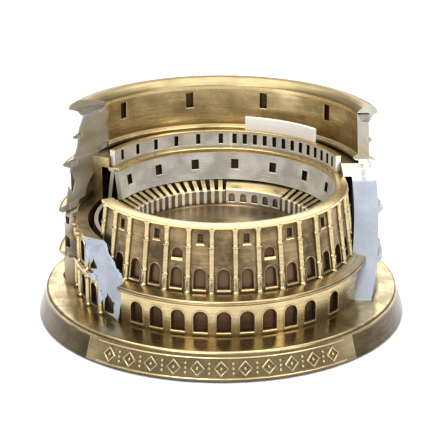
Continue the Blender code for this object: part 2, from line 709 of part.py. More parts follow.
def make_facade(gap):
    """The ring's upper wall with its half columns, small windows and blind arches."""
    outline = [
        (RING_INNER_RADIUS, FACADE_TOP),
        (FACADE_TOP_RADIUS, FACADE_TOP),
        (FACADE_FOOT_RADIUS, FACADE_FOOT),
        (RING_INNER_RADIUS, FACADE_FOOT),
    ]
    facade = turned("facade_ring", outline, BRONZE)
    combine(facade, tool("facade_columns", leaning_columns()), "UNION")
    bays = series(FIRST_COLUMN_ANGLE + BAY_PITCH / 2.0, BAY_PITCH, COLUMN_COUNT - 1)
    arch_top = FACADE_FOOT + FACADE_ARCH_TOP
    arch = arch_outline(FACADE_ARCH_WIDTH, FACADE_FOOT + FACADE_ARCH_FOOT, arch_top)
    combine(facade, pocket_tool("facade_arches", arch, facade_radius(arch_top), NICHE_DEPTH, bays))
    window_top = FACADE_TOP - FACADE_WINDOW_DROP
    window = box_outline(FACADE_WINDOW_WIDTH, window_top - FACADE_WINDOW_HEIGHT, window_top)
    depth = FACADE_TOP_DEPTH * 0.5
    combine(facade, pocket_tool("facade_windows", window, facade_radius(window_top), depth, bays[1::2]))
    combine(facade, gap)


def make_liner(gap):
    """The plain wall inside the ring, with square blind windows."""
    outline = [
        (LINER_TOP_RADIUS, FACADE_TOP),
        (DRUM_RADIUS, FACADE_TOP),
        (DRUM_RADIUS, LINER_FOOT),
        (LINER_FOOT_RADIUS, LINER_FOOT),
    ]
    liner = turned("inner_wall", outline, PALE)
    sill = LINER_FOOT + LINER_WINDOW_SILL
    window = box_outline(LINER_WINDOW_WIDTH, sill, sill + LINER_WINDOW_HEIGHT)
    angles = series(LINER_FIRST_WINDOW, -LINER_WINDOW_PITCH, LINER_WINDOWS)
    combine(liner, inner_pocket_tool("liner_windows", window, LINER_TOP_RADIUS, LINER_WINDOW_DEPTH, angles))
    combine(liner, gap)


def make_coping():
    """The flat rim on top of the ring."""
    inner = LINER_TOP_RADIUS - COPING_LIP
    outer = FACADE_TOP_RADIUS + COPING_OVERHANG
    outline = [
        (inner, RING_TOP),
        (outer - COPING_BEVEL, RING_TOP),
        (outer, RING_TOP - COPING_BEVEL),
        (outer, COPING_FOOT),
        (inner, COPING_FOOT),
    ]
    part("ring_coping", sector(outline, BREACH_END, BREACH_START + 360.0), GOLD)


# --- gallery ----------------------------------------------------------------------------------

def make_gallery_base(right_end):
    """The mass behind the ring that carries the gallery's floor."""
    lower = LOWER_INNER_RADIUS - FIT_GAP
    upper = UPPER_INNER_RADIUS - FIT_GAP
    step_in = STOREY_2_TOP - FIT_GAP
    outline = [
        (GALLERY_RADIUS + FIT_GAP, GALLERY_FLOOR),
        (upper, GALLERY_FLOOR),
        (upper, step_in),
        (lower, step_in),
        (lower, DECK_REST),
        (MASS_INNER_RADIUS, DECK_REST),
        (MASS_INNER_RADIUS, GALLERY_FOOT),
        (GALLERY_RADIUS + FIT_GAP, GALLERY_FOOT),
    ]
    base = part("gallery_base", sector(outline, 0.0, BREACH_START), DARK)
    combine(base, right_end)


def make_gallery():
    """The wall of slots at the gallery's front, and the blank screen that stands on it."""
    wall = [
        (GALLERY_INNER_RADIUS, GALLERY_TOP),
        (GALLERY_RADIUS, GALLERY_TOP),
        (GALLERY_RADIUS, GALLERY_FOOT),
        (GALLERY_INNER_RADIUS, GALLERY_FOOT),
    ]
    colonnade = part("gallery_colonnade", sector(wall, GALLERY_START, GALLERY_END), PALE)
    slot_foot = GALLERY_FOOT + SLOT_FOOT
    slot = prism(box_outline(SLOT_WIDTH, slot_foot, slot_foot + SLOT_HEIGHT), GALLERY_WALL * 3.0)
    angles = series(WIDE_SLOT_START, -WIDE_SLOT_PITCH, WIDE_SLOTS)
    angles += series(CLOSE_SLOT_START, CLOSE_SLOT_PITCH, CLOSE_SLOTS)
    slots = round_the_axis(slot, GALLERY_INNER_RADIUS - GALLERY_WALL, angles)
    combine(colonnade, tool("gallery_slots", slots))
    inner = GALLERY_RADIUS - SCREEN_THICKNESS
    screen = [
        (inner, SCREEN_TOP),
        (GALLERY_RADIUS, SCREEN_TOP),
        (GALLERY_RADIUS, SCREEN_FOOT),
        (inner, SCREEN_FOOT),
    ]
    part("gallery_screen", sector(screen, SCREEN_START, SCREEN_END), PALE)


# --- outer wall -------------------------------------------------------------------------------

def end_cutter(name, line, side):
    """A tool that removes all in front of a line of (y, z) points, on one side of the model."""
    outline = line + [(-BEYOND, line[-1][1]), (-BEYOND, line[0][1])]
    shape = prism(outline, BEYOND)
    turn = Matrix(((0.0, side, 0.0, 0.0), (1.0, 0.0, 0.0, 0.0), (0.0, 0.0, 1.0, 0.0), (0.0, 0.0, 0.0, 1.0)))
    bmesh.ops.transform(shape, matrix=turn, verts=shape.verts)
    bmesh.ops.recalc_face_normals(shape, faces=shape.faces)
    return tool(name, shape)


def right_end_line():
    """The outer wall's right end: steep at the top, then a ledge above the buttress."""
    ledge = BUTTRESS_BACK + FIT_GAP
    return [
        (RIGHT_END_TOP, ABOVE_ALL),
        (RIGHT_END_TOP, ATTIC_TOP),
        (RIGHT_END_STEP, STOREY_3_TOP),
        (ledge, BUTTRESS_TOP + FIT_GAP),
        (ledge, 0.0),
    ]


def left_end_line(steps=15, hollow=1.25):
    """The outer wall's left end: a slope with shallow waves, from the top to the plinth."""
    line = [(LEFT_END_TOP, ABOVE_ALL), (LEFT_END_TOP, ATTIC_TOP)]
    for step in range(1, steps + 1):
        share = step / steps
        wave = LEFT_END_WAVE * sin(2.0 * pi * LEFT_END_WAVES * share)
        y = LEFT_END_TOP + (LEFT_END_KNEE - LEFT_END_TOP) * share ** hollow + wave
        line.append((y, ATTIC_TOP + (STOREY_2_TOP - ATTIC_TOP) * share))
    line.append((LEFT_END_KNEE + LEFT_END_SHELF, STOREY_2_TOP - LEFT_END_SHELF))
    line.append((LEFT_END_LOWER, STOREY_1_TOP))
    line.append((LEFT_END_FOOT, 0.0))
    return line


def storey_outline(inner, face, foot, top):
    """The section of one storey: a plain wall with a cornice at its top."""
    edge = face + CORNICE_PROJECTION
    return [
        (inner, top),
        (edge, top),
        (edge, top - CORNICE_HEIGHT / 2.0),
        (face, top - CORNICE_HEIGHT),
        (face, foot),
        (inner, foot),
    ]


def make_storey(name, outline, openings, ends):
    """One storey of the outer wall, cut by its openings and by the wall's two ends."""
    storey = part(name, sector(outline, -10.0, 200.0), BRONZE)
    for cutter in openings + ends:
        combine(storey, cutter)


def make_outer_storeys(ends):
    """The three arcaded storeys of the outer wall, each set back a little from the one below."""
    levels = [
        (LOWER_INNER_RADIUS, DECK_REST, STOREY_1_TOP),
        (LOWER_INNER_RADIUS, STOREY_1_TOP + FIT_GAP, STOREY_2_TOP),
        (UPPER_INNER_RADIUS, STOREY_2_TOP + FIT_GAP, STOREY_3_TOP),
    ]
    angles = series(OUTER_FIRST_BAY, BAY_PITCH, OUTER_BAYS)
    for index, (inner, foot, top) in enumerate(levels):
        face = OUTER_RADIUS - STOREY_SETBACK * index
        arch_top = top - CORNICE_HEIGHT - OUTER_ARCH_MARGIN
        arch = arch_outline(OUTER_ARCH_WIDTH, foot + OUTER_ARCH_MARGIN, arch_top)
        arches = pocket_tool(f"outer_arches_{index + 1}", arch, face, OUTER_ARCH_DEPTH, angles)
        make_storey(f"outer_storey_{index + 1}", storey_outline(inner, face, foot, top), [arches], ends)


def make_attic(ends):
    """The plain top storey, with a band round its outside and blind windows inside."""
    face = OUTER_RADIUS - STOREY_SETBACK * 3.0
    band = CORNICE_PROJECTION / 2.0
    half = CORNICE_HEIGHT / 2.0
    outline = [
        (UPPER_INNER_RADIUS, ATTIC_TOP),
        (face, ATTIC_TOP),
        (face, ATTIC_BAND + half),
        (face + band, ATTIC_BAND + half / 2.0),
        (face + band, ATTIC_BAND - half / 2.0),
        (face, ATTIC_BAND - half),
        (face, ATTIC_FOOT),
        (LIP_RADIUS + half, ATTIC_FOOT),
        (LIP_RADIUS, ATTIC_FOOT + half),
    ]
    middle = (ATTIC_TOP + ATTIC_BAND) / 2.0
    half_window = ATTIC_WINDOW_HEIGHT / 2.0
    window = box_outline(ATTIC_WINDOW_WIDTH, middle - half_window, middle + half_window)
    angles = series(ATTIC_WINDOW_START, ATTIC_WINDOW_PITCH, ATTIC_WINDOWS)
    windows = inner_pocket_tool("attic_windows", window, UPPER_INNER_RADIUS, OUTER_ARCH_DEPTH, angles)
    make_storey("outer_attic", outline, [windows], ends)


def make_crown(ends):
    """The rounded cornice on top of the outer wall, lower at its inner edge."""
    tip = OUTER_RADIUS - STOREY_SETBACK * 3.0 + CROWN_PROJECTION
    width = tip - UPPER_INNER_RADIUS
    section = [(0.0, 0.15), (0.22, 0.75), (0.5, 1.0), (0.8, 0.85), (1.0, 0.3), (0.95, 0.0), (0.0, 0.0)]
    outline = [(UPPER_INNER_RADIUS + width * out, CROWN_FOOT + CROWN_HEIGHT * up) for out, up in section]
    make_storey("crown_cornice", outline, [], ends)


def make_buttress():
    """The right end's buttress: a plain slope from the third storey down to the plinth."""
    edge = OUTER_RADIUS + CORNICE_PROJECTION
    outline = [(MASS_INNER_RADIUS, BUTTRESS_TOP), (OUTER_RADIUS, BUTTRESS_TOP)]
    for top in (STOREY_2_TOP, STOREY_1_TOP):
        outline += [
            (OUTER_RADIUS, top),
            (edge, top),
            (edge, top - CORNICE_HEIGHT / 2.0),
            (OUTER_RADIUS, top - CORNICE_HEIGHT),
        ]
    outline += [(OUTER_RADIUS, DECK_REST), (MASS_INNER_RADIUS, DECK_REST)]
    shape = sector(outline, -40.0, 20.0)
    trim(shape, Vector((0.0, BUTTRESS_BACK, 0.0)), Vector((0.0, 1.0, 0.0)))
    trim(shape, Vector((0.0, BUTTRESS_FOOT, PLINTH_HEIGHT)), slope_normal())
    part("right_buttress", shape, PALE)


def make_ruin():
    """The broken lower storeys on the left, behind a leaning broken face."""
    outline = [
        (MASS_INNER_RADIUS, RUIN_TOP),
        (RUIN_OUTER_RADIUS, RUIN_TOP),
        (RUIN_OUTER_RADIUS, DECK_REST),
        (MASS_INNER_RADIUS, DECK_REST),
    ]
    shape = sector(outline, BREACH_START + gap_angle(MASS_INNER_RADIUS), RUIN_TIP_ANGLE)
    trim(shape, polar(RUIN_OUTER_RADIUS, RUIN_TIP_ANGLE, PLINTH_HEIGHT), ruin_normal())
    part("left_ruin", shape, PALE)


def build():
    make_plinth()
    make_front_cover()
    make_pad()
    make_screws()
    make_drum()
    make_arena_floor()
    make_vault_ring()
    make_podium()
    rear = ring_cutters()
    make_arcade(rear)
    make_string_course(rear)
    gap = tool("ring_breach", breach(RUIN_TOP + FIT_GAP))
    make_facade(gap)
    make_liner(gap)
    make_coping()
    right_end = end_cutter("right_end", right_end_line(), 1.0)
    left_end = end_cutter("left_end", left_end_line(), -1.0)
    make_gallery_base(right_end)
    make_gallery()
    ends = [right_end, left_end]
    make_outer_storeys(ends)
    make_attic(ends)
    make_crown(ends)
    make_buttress()
    make_ruin()


build()
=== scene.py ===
"""Looks of a miniature ruined amphitheatre, a desk souvenir with an antique bronze finish.

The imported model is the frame: it gives every height and radius that the pieces here are made to.
Each piece is made by an operator, and the operators run in order from the main function.
Sizes are in metres. Angles are in degrees round Z from +X, so the front of the model is at 270.
"""

from math import cos, hypot, pi, radians, sin, sqrt

import bmesh
import bpy
from bpy.props import FloatProperty, FloatVectorProperty, IntProperty, PointerProperty
from mathutils import Matrix, Vector, noise


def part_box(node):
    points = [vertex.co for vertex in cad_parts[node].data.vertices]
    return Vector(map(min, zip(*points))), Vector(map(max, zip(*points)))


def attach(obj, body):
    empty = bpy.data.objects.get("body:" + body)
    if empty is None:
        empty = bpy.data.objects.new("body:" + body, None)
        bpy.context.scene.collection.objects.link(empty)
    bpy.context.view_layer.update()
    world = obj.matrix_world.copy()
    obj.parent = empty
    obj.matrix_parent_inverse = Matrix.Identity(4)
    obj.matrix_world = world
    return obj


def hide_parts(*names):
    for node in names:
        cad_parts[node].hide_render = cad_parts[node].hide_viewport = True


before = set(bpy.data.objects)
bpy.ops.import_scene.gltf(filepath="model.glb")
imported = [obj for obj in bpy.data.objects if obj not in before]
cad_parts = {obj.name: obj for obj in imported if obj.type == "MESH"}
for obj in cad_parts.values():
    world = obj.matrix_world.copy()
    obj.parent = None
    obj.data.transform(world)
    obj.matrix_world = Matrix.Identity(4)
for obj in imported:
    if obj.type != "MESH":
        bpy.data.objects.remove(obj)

bl_info = {
    "name": "Miniature amphitheatre",
    "version": (1, 0, 0),
    "blender": (4, 5, 0),
    "location": "View3D > Sidebar > Amphitheatre",
    "description": "Builds the visible pieces of a small cast amphitheatre round its packed frame",
    "category": "Object",
}

MM = 0.001
WELD = 0.0003 * MM            # corners closer than this are one
FINE = 1.5                    # degrees between the flats of a smooth turned piece
RECESS_DEPTH = 0.3 * MM       # an opening is dark from this far in
GROOVE = 0.35 * MM            # the shadow line under the string course
OVERLAP = 0.4 * MM            # how far one piece of the casting runs into the next, out of sight
FRONT = 270.0


# --- what the frame gives ---------------------------------------------------------------------

def levels(node):
    """The lowest and the highest level of a CAD node."""
    low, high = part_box(node)
    return low.z, high.z


def reach(node):
    """The least and the greatest distance of a CAD node's corners from the axis."""
    lengths = [hypot(vert.co.x, vert.co.y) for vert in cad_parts[node].data.vertices]
    return min(lengths), max(lengths)


PLINTH_FOOT, DECK = levels("plinth")
PLINTH_RADIUS = reach("plinth")[1]
BEYOND = PLINTH_RADIUS * 1.2   # outside every piece
ARENA_TOP = levels("arena_floor")[1]
ARENA_RADIUS = reach("arena_floor")[1]
VAULT_FOOT, VAULT_TOP = levels("vault_ring")
VAULT_INNER, VAULT_OUTER = reach("vault_ring")
RING_INNER, ARCADE_RADIUS = reach("ground_arcade")
COURSE_FOOT, COURSE_TOP = levels("string_course")
COURSE_RADIUS = reach("string_course")[1]
FACADE_FOOT, FACADE_TOP = levels("facade_ring")
COPING_FOOT, RING_TOP = levels("ring_coping")
COPING_INNER, COPING_OUTER = reach("ring_coping")
LINER_FOOT = levels("inner_wall")[0]
LINER_INNER = reach("inner_wall")[0]
GALLERY_FOOT, GALLERY_TOP = levels("gallery_colonnade")
GALLERY_INNER, GALLERY_OUTER = reach("gallery_colonnade")
GALLERY_FLOOR = levels("gallery_base")[1]
SCREEN_TOP = levels("gallery_screen")[1]
SCREEN_INNER = reach("gallery_screen")[0]
STOREY_TOPS = [levels(f"outer_storey_{number}")[1] for number in (1, 2, 3)]
STOREY_INNERS = [reach(f"outer_storey_{number}")[0] for number in (1, 2, 3)]
CORNICE_RADIUS = reach("outer_storey_1")[1]
ATTIC_FOOT, ATTIC_TOP = levels("outer_attic")
CROWN_TOP = levels("crown_cornice")[1]
CROWN_INNER, CROWN_OUTER = reach("crown_cornice")
ABOVE = CROWN_TOP * 1.2        # over every piece
BUTTRESS_SIDE = reach("right_buttress")[0] - 0.3 * MM
BUTTRESS_TOP = levels("right_buttress")[1]
BUTTRESS_FRONT, BUTTRESS_BACK = (corner.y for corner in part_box("right_buttress"))
BUTTRESS_LEAN = Vector((0.0, DECK - BUTTRESS_TOP, BUTTRESS_BACK - BUTTRESS_FRONT)).normalized()
RUIN_INNER, RUIN_OUTER = reach("left_ruin")
RUIN_TOP = levels("left_ruin")[1]
LEFT_END_INSIDE = 31.5 * MM   # the left end's cut goes in to this distance from the middle plane
LEFT_END_SKEW = 0.67          # how fast the cut goes back, at the top, for each step inwards
LEFT_END_STEEPENS = 1.7       # and how much faster lower down
BREACH_START, BREACH_END = 157.0, 203.0  # the gap on the left, in the ring and its rim
WALL_SPAN = (-4.0, 198.0)     # the outer wall, before its ends are cut
BAY = 10.0                    # from one half column to the next
ARCADE_BAYS = (235.4, 8.9, 9)  # the first arch of the arcade's even run, its pitch and its number
ARCADE_LAST = 320.0           # the arch beyond the joint on the right
WINDOW_BAYS = [221.0, 241.0, 261.0, 281.0, 301.0, 321.0]  # facade bays with a window over the arch
NICHE_BAYS = [251.0, 291.0]   # and those with a niche there


# --- sizes and colours that a user would change -----------------------------------------------

def length(name, description, value, lowest=0.01):
    """A length in metres, given in millimetres."""
    kind = {"subtype": "DISTANCE", "unit": "LENGTH"}
    low = lowest * MM
    return FloatProperty(name=name, description=description, default=value * MM, min=low, **kind)


def colour(name, description, value):
    return FloatVectorProperty(
        name=name, description=description, default=value, size=3, min=0.0, max=1.0, subtype="COLOR"
    )


class PlinthSettings(bpy.types.PropertyGroup):
    flare: length("Flare", "How much wider the plinth is at its foot than at its top", 2.0)
    edge: length("Edge", "Radius of the rounded top edge", 0.9)
    seam: length("Seam", "Width of the joint beside the front cover", 0.1)
    cover_half_angle: FloatProperty(
        name="Cover half angle",
        description="From the cover's middle to its end",
        default=radians(44.0),
        subtype="ANGLE",
    )
    relief: length("Relief", "How far the ornament stands out", 0.35)
    motifs: IntProperty(
        name="Motifs", description="Lozenges on the front cover", default=11, min=3, max=31
    )


class RingSettings(bpy.types.PropertyGroup):
    column_radius: length("Column radius", "Radius of the facade's half columns", 0.72)
    niche: length("Niche depth", "Depth of the blind arches", 0.9)
    chamfer: length("Chamfer", "Width of the small bevels on cast edges", 0.09)
    facade_foot: length("Facade depth", "Depth of the facade's wall at its foot", 3.3)
    facade_top: length("Facade top depth", "Depth of the facade's wall at its top", 1.0)
    vault_front: length("Vault front rise", "Height of the vaults' front over their underside", 5.1)
    fin: length("Fin", "Thickness of the radial walls of the vaults", 1.15)


class WallSettings(bpy.types.PropertyGroup):
    cornice: length("Cornice", "How far the cornices stand out", 1.6)
    cornice_height: length("Cornice height", "Height of a cornice", 1.6)
    setback: length("Setback", "How far each storey steps back", 0.3)
    arch_width: length("Arch width", "Width of the blind arches outside", 3.4)
    window_width: length("Window width", "Width of the attic's windows", 2.1)
    window_height: length("Window height", "Height of the attic's windows", 4.6)


class FinishSettings(bpy.types.PropertyGroup):
    # Recess colour: dark patina, which antique_bronze also lays in as painted shade in hollows and
    # under mouldings.
    recess: colour("Recess", "Dark patina in the recesses", (0.030, 0.019, 0.011))
    bronze: colour("Bronze", "The plating where it isn't rubbed", (0.215, 0.155, 0.080))
    rubbed: colour("Rubbed", "The plating where it is rubbed bright", (0.66, 0.53, 0.29))
    gold: colour("Gold", "The brightest rims", (0.82, 0.63, 0.31))
    # Pale colour: painted reflection, the white of bright light mirrored in the inner walls, the
    # screen and the cut ends.
    pale: colour("Pale", "The palest faces, where the plating is thin", (0.90, 0.88, 0.82))
    # Cut colour: painted reflection, the pale blue of the light above mirrored in the two cut ends.
    cut: colour("Cut", "The bluish matt faces of the two cut ends", (0.62, 0.68, 0.78))


class StudioSettings(bpy.types.PropertyGroup):
    floor: colour("Floor", "The pale floor", (0.92, 0.92, 0.93))
    camera_distance: length("Camera distance", "In front of the model's axis", 411.8)
    camera_height: length("Camera height", "Above the floor", 176.7)
    aim_height: length("Aim height", "Where the camera looks, above the floor", 23.75)
    lens: FloatProperty(
        name="Lens", description="Focal length of the camera", default=129.85, unit="CAMERA"
    )


SETTINGS = {
    "amphitheatre_plinth": PlinthSettings,
    "amphitheatre_ring": RingSettings,
    "amphitheatre_wall": WallSettings,
    "amphitheatre_finish": FinishSettings,
    "amphitheatre_studio": StudioSettings,
}


# --- shapes -----------------------------------------------------------------------------------

def polar(radius, angle, height=0.0):
    """The point at a radius, an angle in degrees and a height."""
    return Vector((radius * cos(radians(angle)), radius * sin(radians(angle)), height))


def series(first, pitch, count):
    """Evenly spaced angles."""
    return [first + pitch * index for index in range(count)]


def arc(radius, x, y, start, end, steps):
    """Points on an arc round (x, y), from one angle in degrees to another."""
    turns = [radians(start + (end - start) * step / steps) for step in range(steps + 1)]
    return [(x + radius * cos(turn), y + radius * sin(turn)) for turn in turns]


def softened(outline, radius, closed=True, steps=3):
    """An outline with each corner rounded, by no more than a third of the sides beside it."""
    count = len(outline)
    points = []
    for index, corner in enumerate(outline):
        if not closed and index in (0, count - 1):
            points.append(corner)
            continue
        here = Vector(corner)
        before = Vector(outline[index - 1]) - here
        after = Vector(outline[(index + 1) % count]) - here
        size = min(radius, before.length / 3.0, after.length / 3.0)
        start = here + before.normalized() * size
        end = here + after.normalized() * size
        for step in range(steps + 1):
            share = step / steps
            rest = 1.0 - share
            points.append(tuple(start * rest ** 2 + here * 2.0 * share * rest + end * share ** 2))
    return points


def pushed(shape, faces, way):
    """Carry faces along a vector, with sides behind them, and close the shape."""
    made = bmesh.ops.extrude_face_region(shape, geom=faces)["geom"]
    moved = [item for item in made if isinstance(item, bmesh.types.BMVert)]
    bmesh.ops.translate(shape, verts=moved, vec=way)
    bmesh.ops.recalc_face_normals(shape, faces=shape.faces)
    return shape


def spun(shape, geometry, angle, steps, **how):
    """Spin some of a shape round the axis, by an angle in degrees."""
    about = {"cent": (0.0, 0.0, 0.0), "axis": (0.0, 0.0, 1.0), "angle": radians(angle)}
    bmesh.ops.spin(shape, geom=geometry, steps=steps, **about, **how)


def turned(outline, sides=int(360.0 / FINE)):
    """A full ring, disc or post, from an outline of (radius, height)."""
    shape = bmesh.new()
    points = [shape.verts.new((radius, 0.0, height)) for radius, height in outline]
    edges = [shape.edges.new(pair) for pair in zip(points, points[1:])]
    if outline[0][0] > 0.0:
        edges.append(shape.edges.new((points[-1], points[0])))
    spun(shape, points + edges, 360.0, sides, use_merge=True)
    bmesh.ops.remove_doubles(shape, verts=shape.verts, dist=WELD)
    bmesh.ops.recalc_face_normals(shape, faces=shape.faces)
    return shape


def sector(outline, start, end, pitch=FINE):
    """A closed part of a ring: an outline of (radius, height) spun from start to end."""
    shape = bmesh.new()
    turn = Matrix.Rotation(radians(start), 3, "Z")
    corners = [shape.verts.new(turn @ Vector((radius, 0.0, height))) for radius, height in outline]
    steps = max(2, round((end - start) / pitch))
    spun(shape, [shape.faces.new(corners)], end - start, steps, use_duplicate=False)
    bmesh.ops.recalc_face_normals(shape, faces=shape.faces)
    return shape


def prism(outline, depth):
    """An outline of (x, z) at y = 0, pushed along +Y to a depth."""
    shape = bmesh.new()
    face = shape.faces.new([shape.verts.new((x, 0.0, z)) for x, z in outline])
    return pushed(shape, [face], (0.0, depth, 0.0))


def ball(radius):
    shape = bmesh.new()
    bmesh.ops.create_uvsphere(shape, u_segments=14, v_segments=8, radius=radius)
    return shape


def bevelled(shape, width):
    """Bevel every edge that turns by more than 30 degrees."""
    solid_edges = [edge for edge in shape.edges if edge.is_manifold]
    sharp = [edge for edge in solid_edges if edge.calc_face_angle(0.0) > radians(30.0)]
    how = {"offset_type": "OFFSET", "segments": 1, "profile": 0.5, "affect": "EDGES"}
    bmesh.ops.bevel(shape, geom=sharp, offset=width, clamp_overlap=True, material=-1, **how)
    return shape


def add_copy(whole, single, matrix=Matrix.Identity(4)):
    """Add a moved copy of one shape to another."""
    mesh = bpy.data.meshes.new("copy")
    single.to_mesh(mesh)
    mesh.transform(matrix)
    whole.from_mesh(mesh)
    bpy.data.meshes.remove(mesh)


def added(whole, single, x=0.0, y=0.0, z=0.0):
    """Move a shape into another."""
    add_copy(whole, single, Matrix.Translation((x, y, z)))
    single.free()


def joined(*shapes):
    """Several shapes as one."""
    whole = bmesh.new()
    for shape in shapes:
        added(whole, shape)
    return whole


def round_the_axis(single, radius, angles):
    """A copy of a shape at each angle, its +Y turned away from the axis."""
    whole = bmesh.new()
    for angle in angles:
        turn = Matrix.Rotation(radians(angle - 90.0), 4, "Z")
        add_copy(whole, single, turn @ Matrix.Translation((0.0, radius, 0.0)))
    single.free()
    return whole


def halved(shape, point, outward, **how):
    """Split the faces of a shape where a plane crosses them."""
    geometry = list(shape.verts) + list(shape.edges) + list(shape.faces)
    bmesh.ops.bisect_plane(shape, geom=geometry, plane_co=point, plane_no=outward, **how)


def trim(shape, point, outward):
    """Cut away what lies outside a plane and close the cut."""
    halved(shape, point, outward, dist=WELD, clear_outer=True)
    open_edges = [edge for edge in shape.edges if edge.is_boundary]
    bmesh.ops.edgeloop_fill(shape, edges=open_edges)
    bmesh.ops.recalc_face_normals(shape, faces=shape.faces)


def held(name, shape):
    """A shape's mesh in an object of its own. The shape itself is used up."""
    mesh = bpy.data.meshes.new(name)
    shape.to_mesh(mesh)
    shape.free()
    thing = bpy.data.objects.new(name, mesh)
    bpy.context.scene.collection.objects.link(thing)
    return thing


def cut(shape, *tools):
    """A shape less the room that each tool takes."""
    work = held("work", shape)
    knives = [held("knife", tool.copy()) for tool in tools]
    for knife in knives:
        for polygon in knife.data.polygons:
            polygon.material_index = 2
    for knife in knives:
        boolean = work.modifiers.new("Cut", "BOOLEAN")
        boolean.operation = "DIFFERENCE"
        boolean.solver = "EXACT"
        boolean.object = knife
    view = bpy.context.evaluated_depsgraph_get()
    result = bmesh.new()
    result.from_mesh(work.evaluated_get(view).to_mesh())
    for thing in [work] + knives:
        mesh = thing.data
        bpy.data.objects.remove(thing, do_unlink=True)
        bpy.data.meshes.remove(mesh)
    return result


# --- walls made of bays -----------------------------------------------------------------------

def arch(width, foot, top, steps=12):
    """An upright with a half-round head, as (x, z) points, wider all round by an amount."""
    def outline(grow):
        half = width / 2.0 + grow
        points = [(-half, foot - grow), (half, foot - grow)]
        return points + arc(half, 0.0, top - width / 2.0, 0.0, 180.0, steps)
    return outline


def square(width, foot, top):
    """An upright rectangle, as (x, z) points, wider all round by an amount."""
    def outline(grow):
        half = width / 2.0 + grow
        return [(-half, foot - grow), (half, foot - grow), (half, top + grow), (-half, top + grow)]
    return outline


def sunk(depth, chamfer):
    """The section of a plain opening, as (growth, y) steps from the wall's face inwards."""
    return [(chamfer, 0.0), (0.0, -chamfer), (0.0, -depth)]


def framed(depth, chamfer, band, rise):
    """The section of an opening with a raised moulding round it."""
    return [
        (band, 0.0),
        (band - chamfer, rise),
        (chamfer, rise),
        (0.0, rise - chamfer),
        (0.0, -depth * 0.45),
        (-chamfer * 1.5, -depth * 0.5),
        (-chamfer * 1.5, -depth),
    ]


def loop(shape, outline, y):
    """The corners of a closed loop of edges at one depth."""
    verts = [shape.verts.new((x, y, z)) for x, z in outline]
    for pair in zip(verts, verts[1:] + verts[:1]):
        shape.edges.new(pair)
    return verts


def loop_edges(shape, verts):
    return [shape.edges.get(pair) for pair in zip(verts, verts[1:] + verts[:1])]


def carried(shape, verts, outline, y):
    """Carry a closed loop on to another outline and depth, with faces between the two."""
    made = bmesh.ops.extrude_edge_only(shape, edges=loop_edges(shape, verts))["geom"]
    copies = {tuple(item.co): item for item in made if isinstance(item, bmesh.types.BMVert)}
    following = [copies[tuple(vert.co)] for vert in verts]
    for vert, (x, z) in zip(following, outline):
        vert.co = (x, y, z)
    return following, [item for item in made if isinstance(item, bmesh.types.BMFace)]


def flat_bay(width, foot, top, thickness, openings, strips=8):
    """A flat bay of wall, closed but for its two ends, its face on y = 0 and looking along +Y."""
    shape = bmesh.new()
    half = width / 2.0
    border = loop_edges(shape, loop(shape, square(width, foot, top)(0.0), 0.0))
    rims = [loop(shape, outline(section[0][0]), section[0][1]) for outline, section in openings]
    rim_edges = [edge for rim in rims for edge in loop_edges(shape, rim)]
    made = bmesh.ops.extrude_edge_only(shape, edges=[border[0], border[2]])["geom"]
    moved = [item for item in made if isinstance(item, bmesh.types.BMVert)]
    bmesh.ops.translate(shape, verts=moved, vec=(0.0, -thickness, 0.0))
    bmesh.ops.contextual_create(shape, geom=moved)
    bmesh.ops.triangle_fill(shape, use_beauty=True, edges=border + rim_edges)
    for rim, (outline, section) in zip(rims, openings):
        last = rim
        for grow, y in section[1:]:
            last, sides = carried(shape, last, outline(grow), y)
            if y < -RECESS_DEPTH:
                for face in sides:
                    face.material_index = 1
        shape.faces.new(last).material_index = 1
    for index in range(1, strips):
        halved(shape, (width * index / strips - half, 0.0, 0.0), (1.0, 0.0, 0.0), dist=WELD * 8.0)
    bmesh.ops.dissolve_degenerate(shape, dist=WELD * 10.0, edges=shape.edges)
    return shape


def bent(shape, width, pitch, radius_at, outward=1.0):
    """Bend a flat bay round the axis: its face at a radius that may change with the height."""
    for vert in shape.verts:
        x, y, z = vert.co
        vert.co = polar(radius_at(z) + outward * y, x / width * pitch, z)
    return shape


def curved_bay(radius, pitch, foot, top, thickness, openings=(), outward=1.0, strips=8):
    """A bay bent to an upright face at a radius, looking away from the axis or towards it."""
    width = radians(pitch) * radius
    cell = flat_bay(width, foot, top, thickness, openings, strips)
    return bent(cell, width, pitch, lambda height: radius, outward)


def wall_of_bays(bays):
    """One closed wall from (shape, angles) pairs of bent bays that meet side by side."""
    whole = bmesh.new()
    for shape, angles in bays:
        for angle in angles:
            add_copy(whole, shape, Matrix.Rotation(radians(angle), 4, "Z"))
        shape.free()
    meeting = {vert for edge in whole.edges if edge.is_boundary for vert in edge.verts}
    bmesh.ops.remove_doubles(whole, verts=list(meeting), dist=WELD * 3.0)
    open_edges = [edge for edge in whole.edges if edge.is_boundary]
    if open_edges:
        bmesh.ops.holes_fill(whole, edges=open_edges, sides=0)
    bmesh.ops.recalc_face_normals(whole, faces=whole.faces)
    return whole


def leaning(shape, slope):
    """Lean a shape back towards the axis by a slope over its height."""
    lean = Matrix.Identity(4)
    lean[1][2] = -slope
    bmesh.ops.transform(shape, matrix=lean, verts=shape.verts)
    return shape


def block(width, foot, top, depth, chamfer):
    """A small chamfered block on the plane y = 0, standing out along +Y."""
    return bevelled(prism(square(width, foot, top)(0.0), depth), chamfer)


# --- finishes ---------------------------------------------------------------------------------

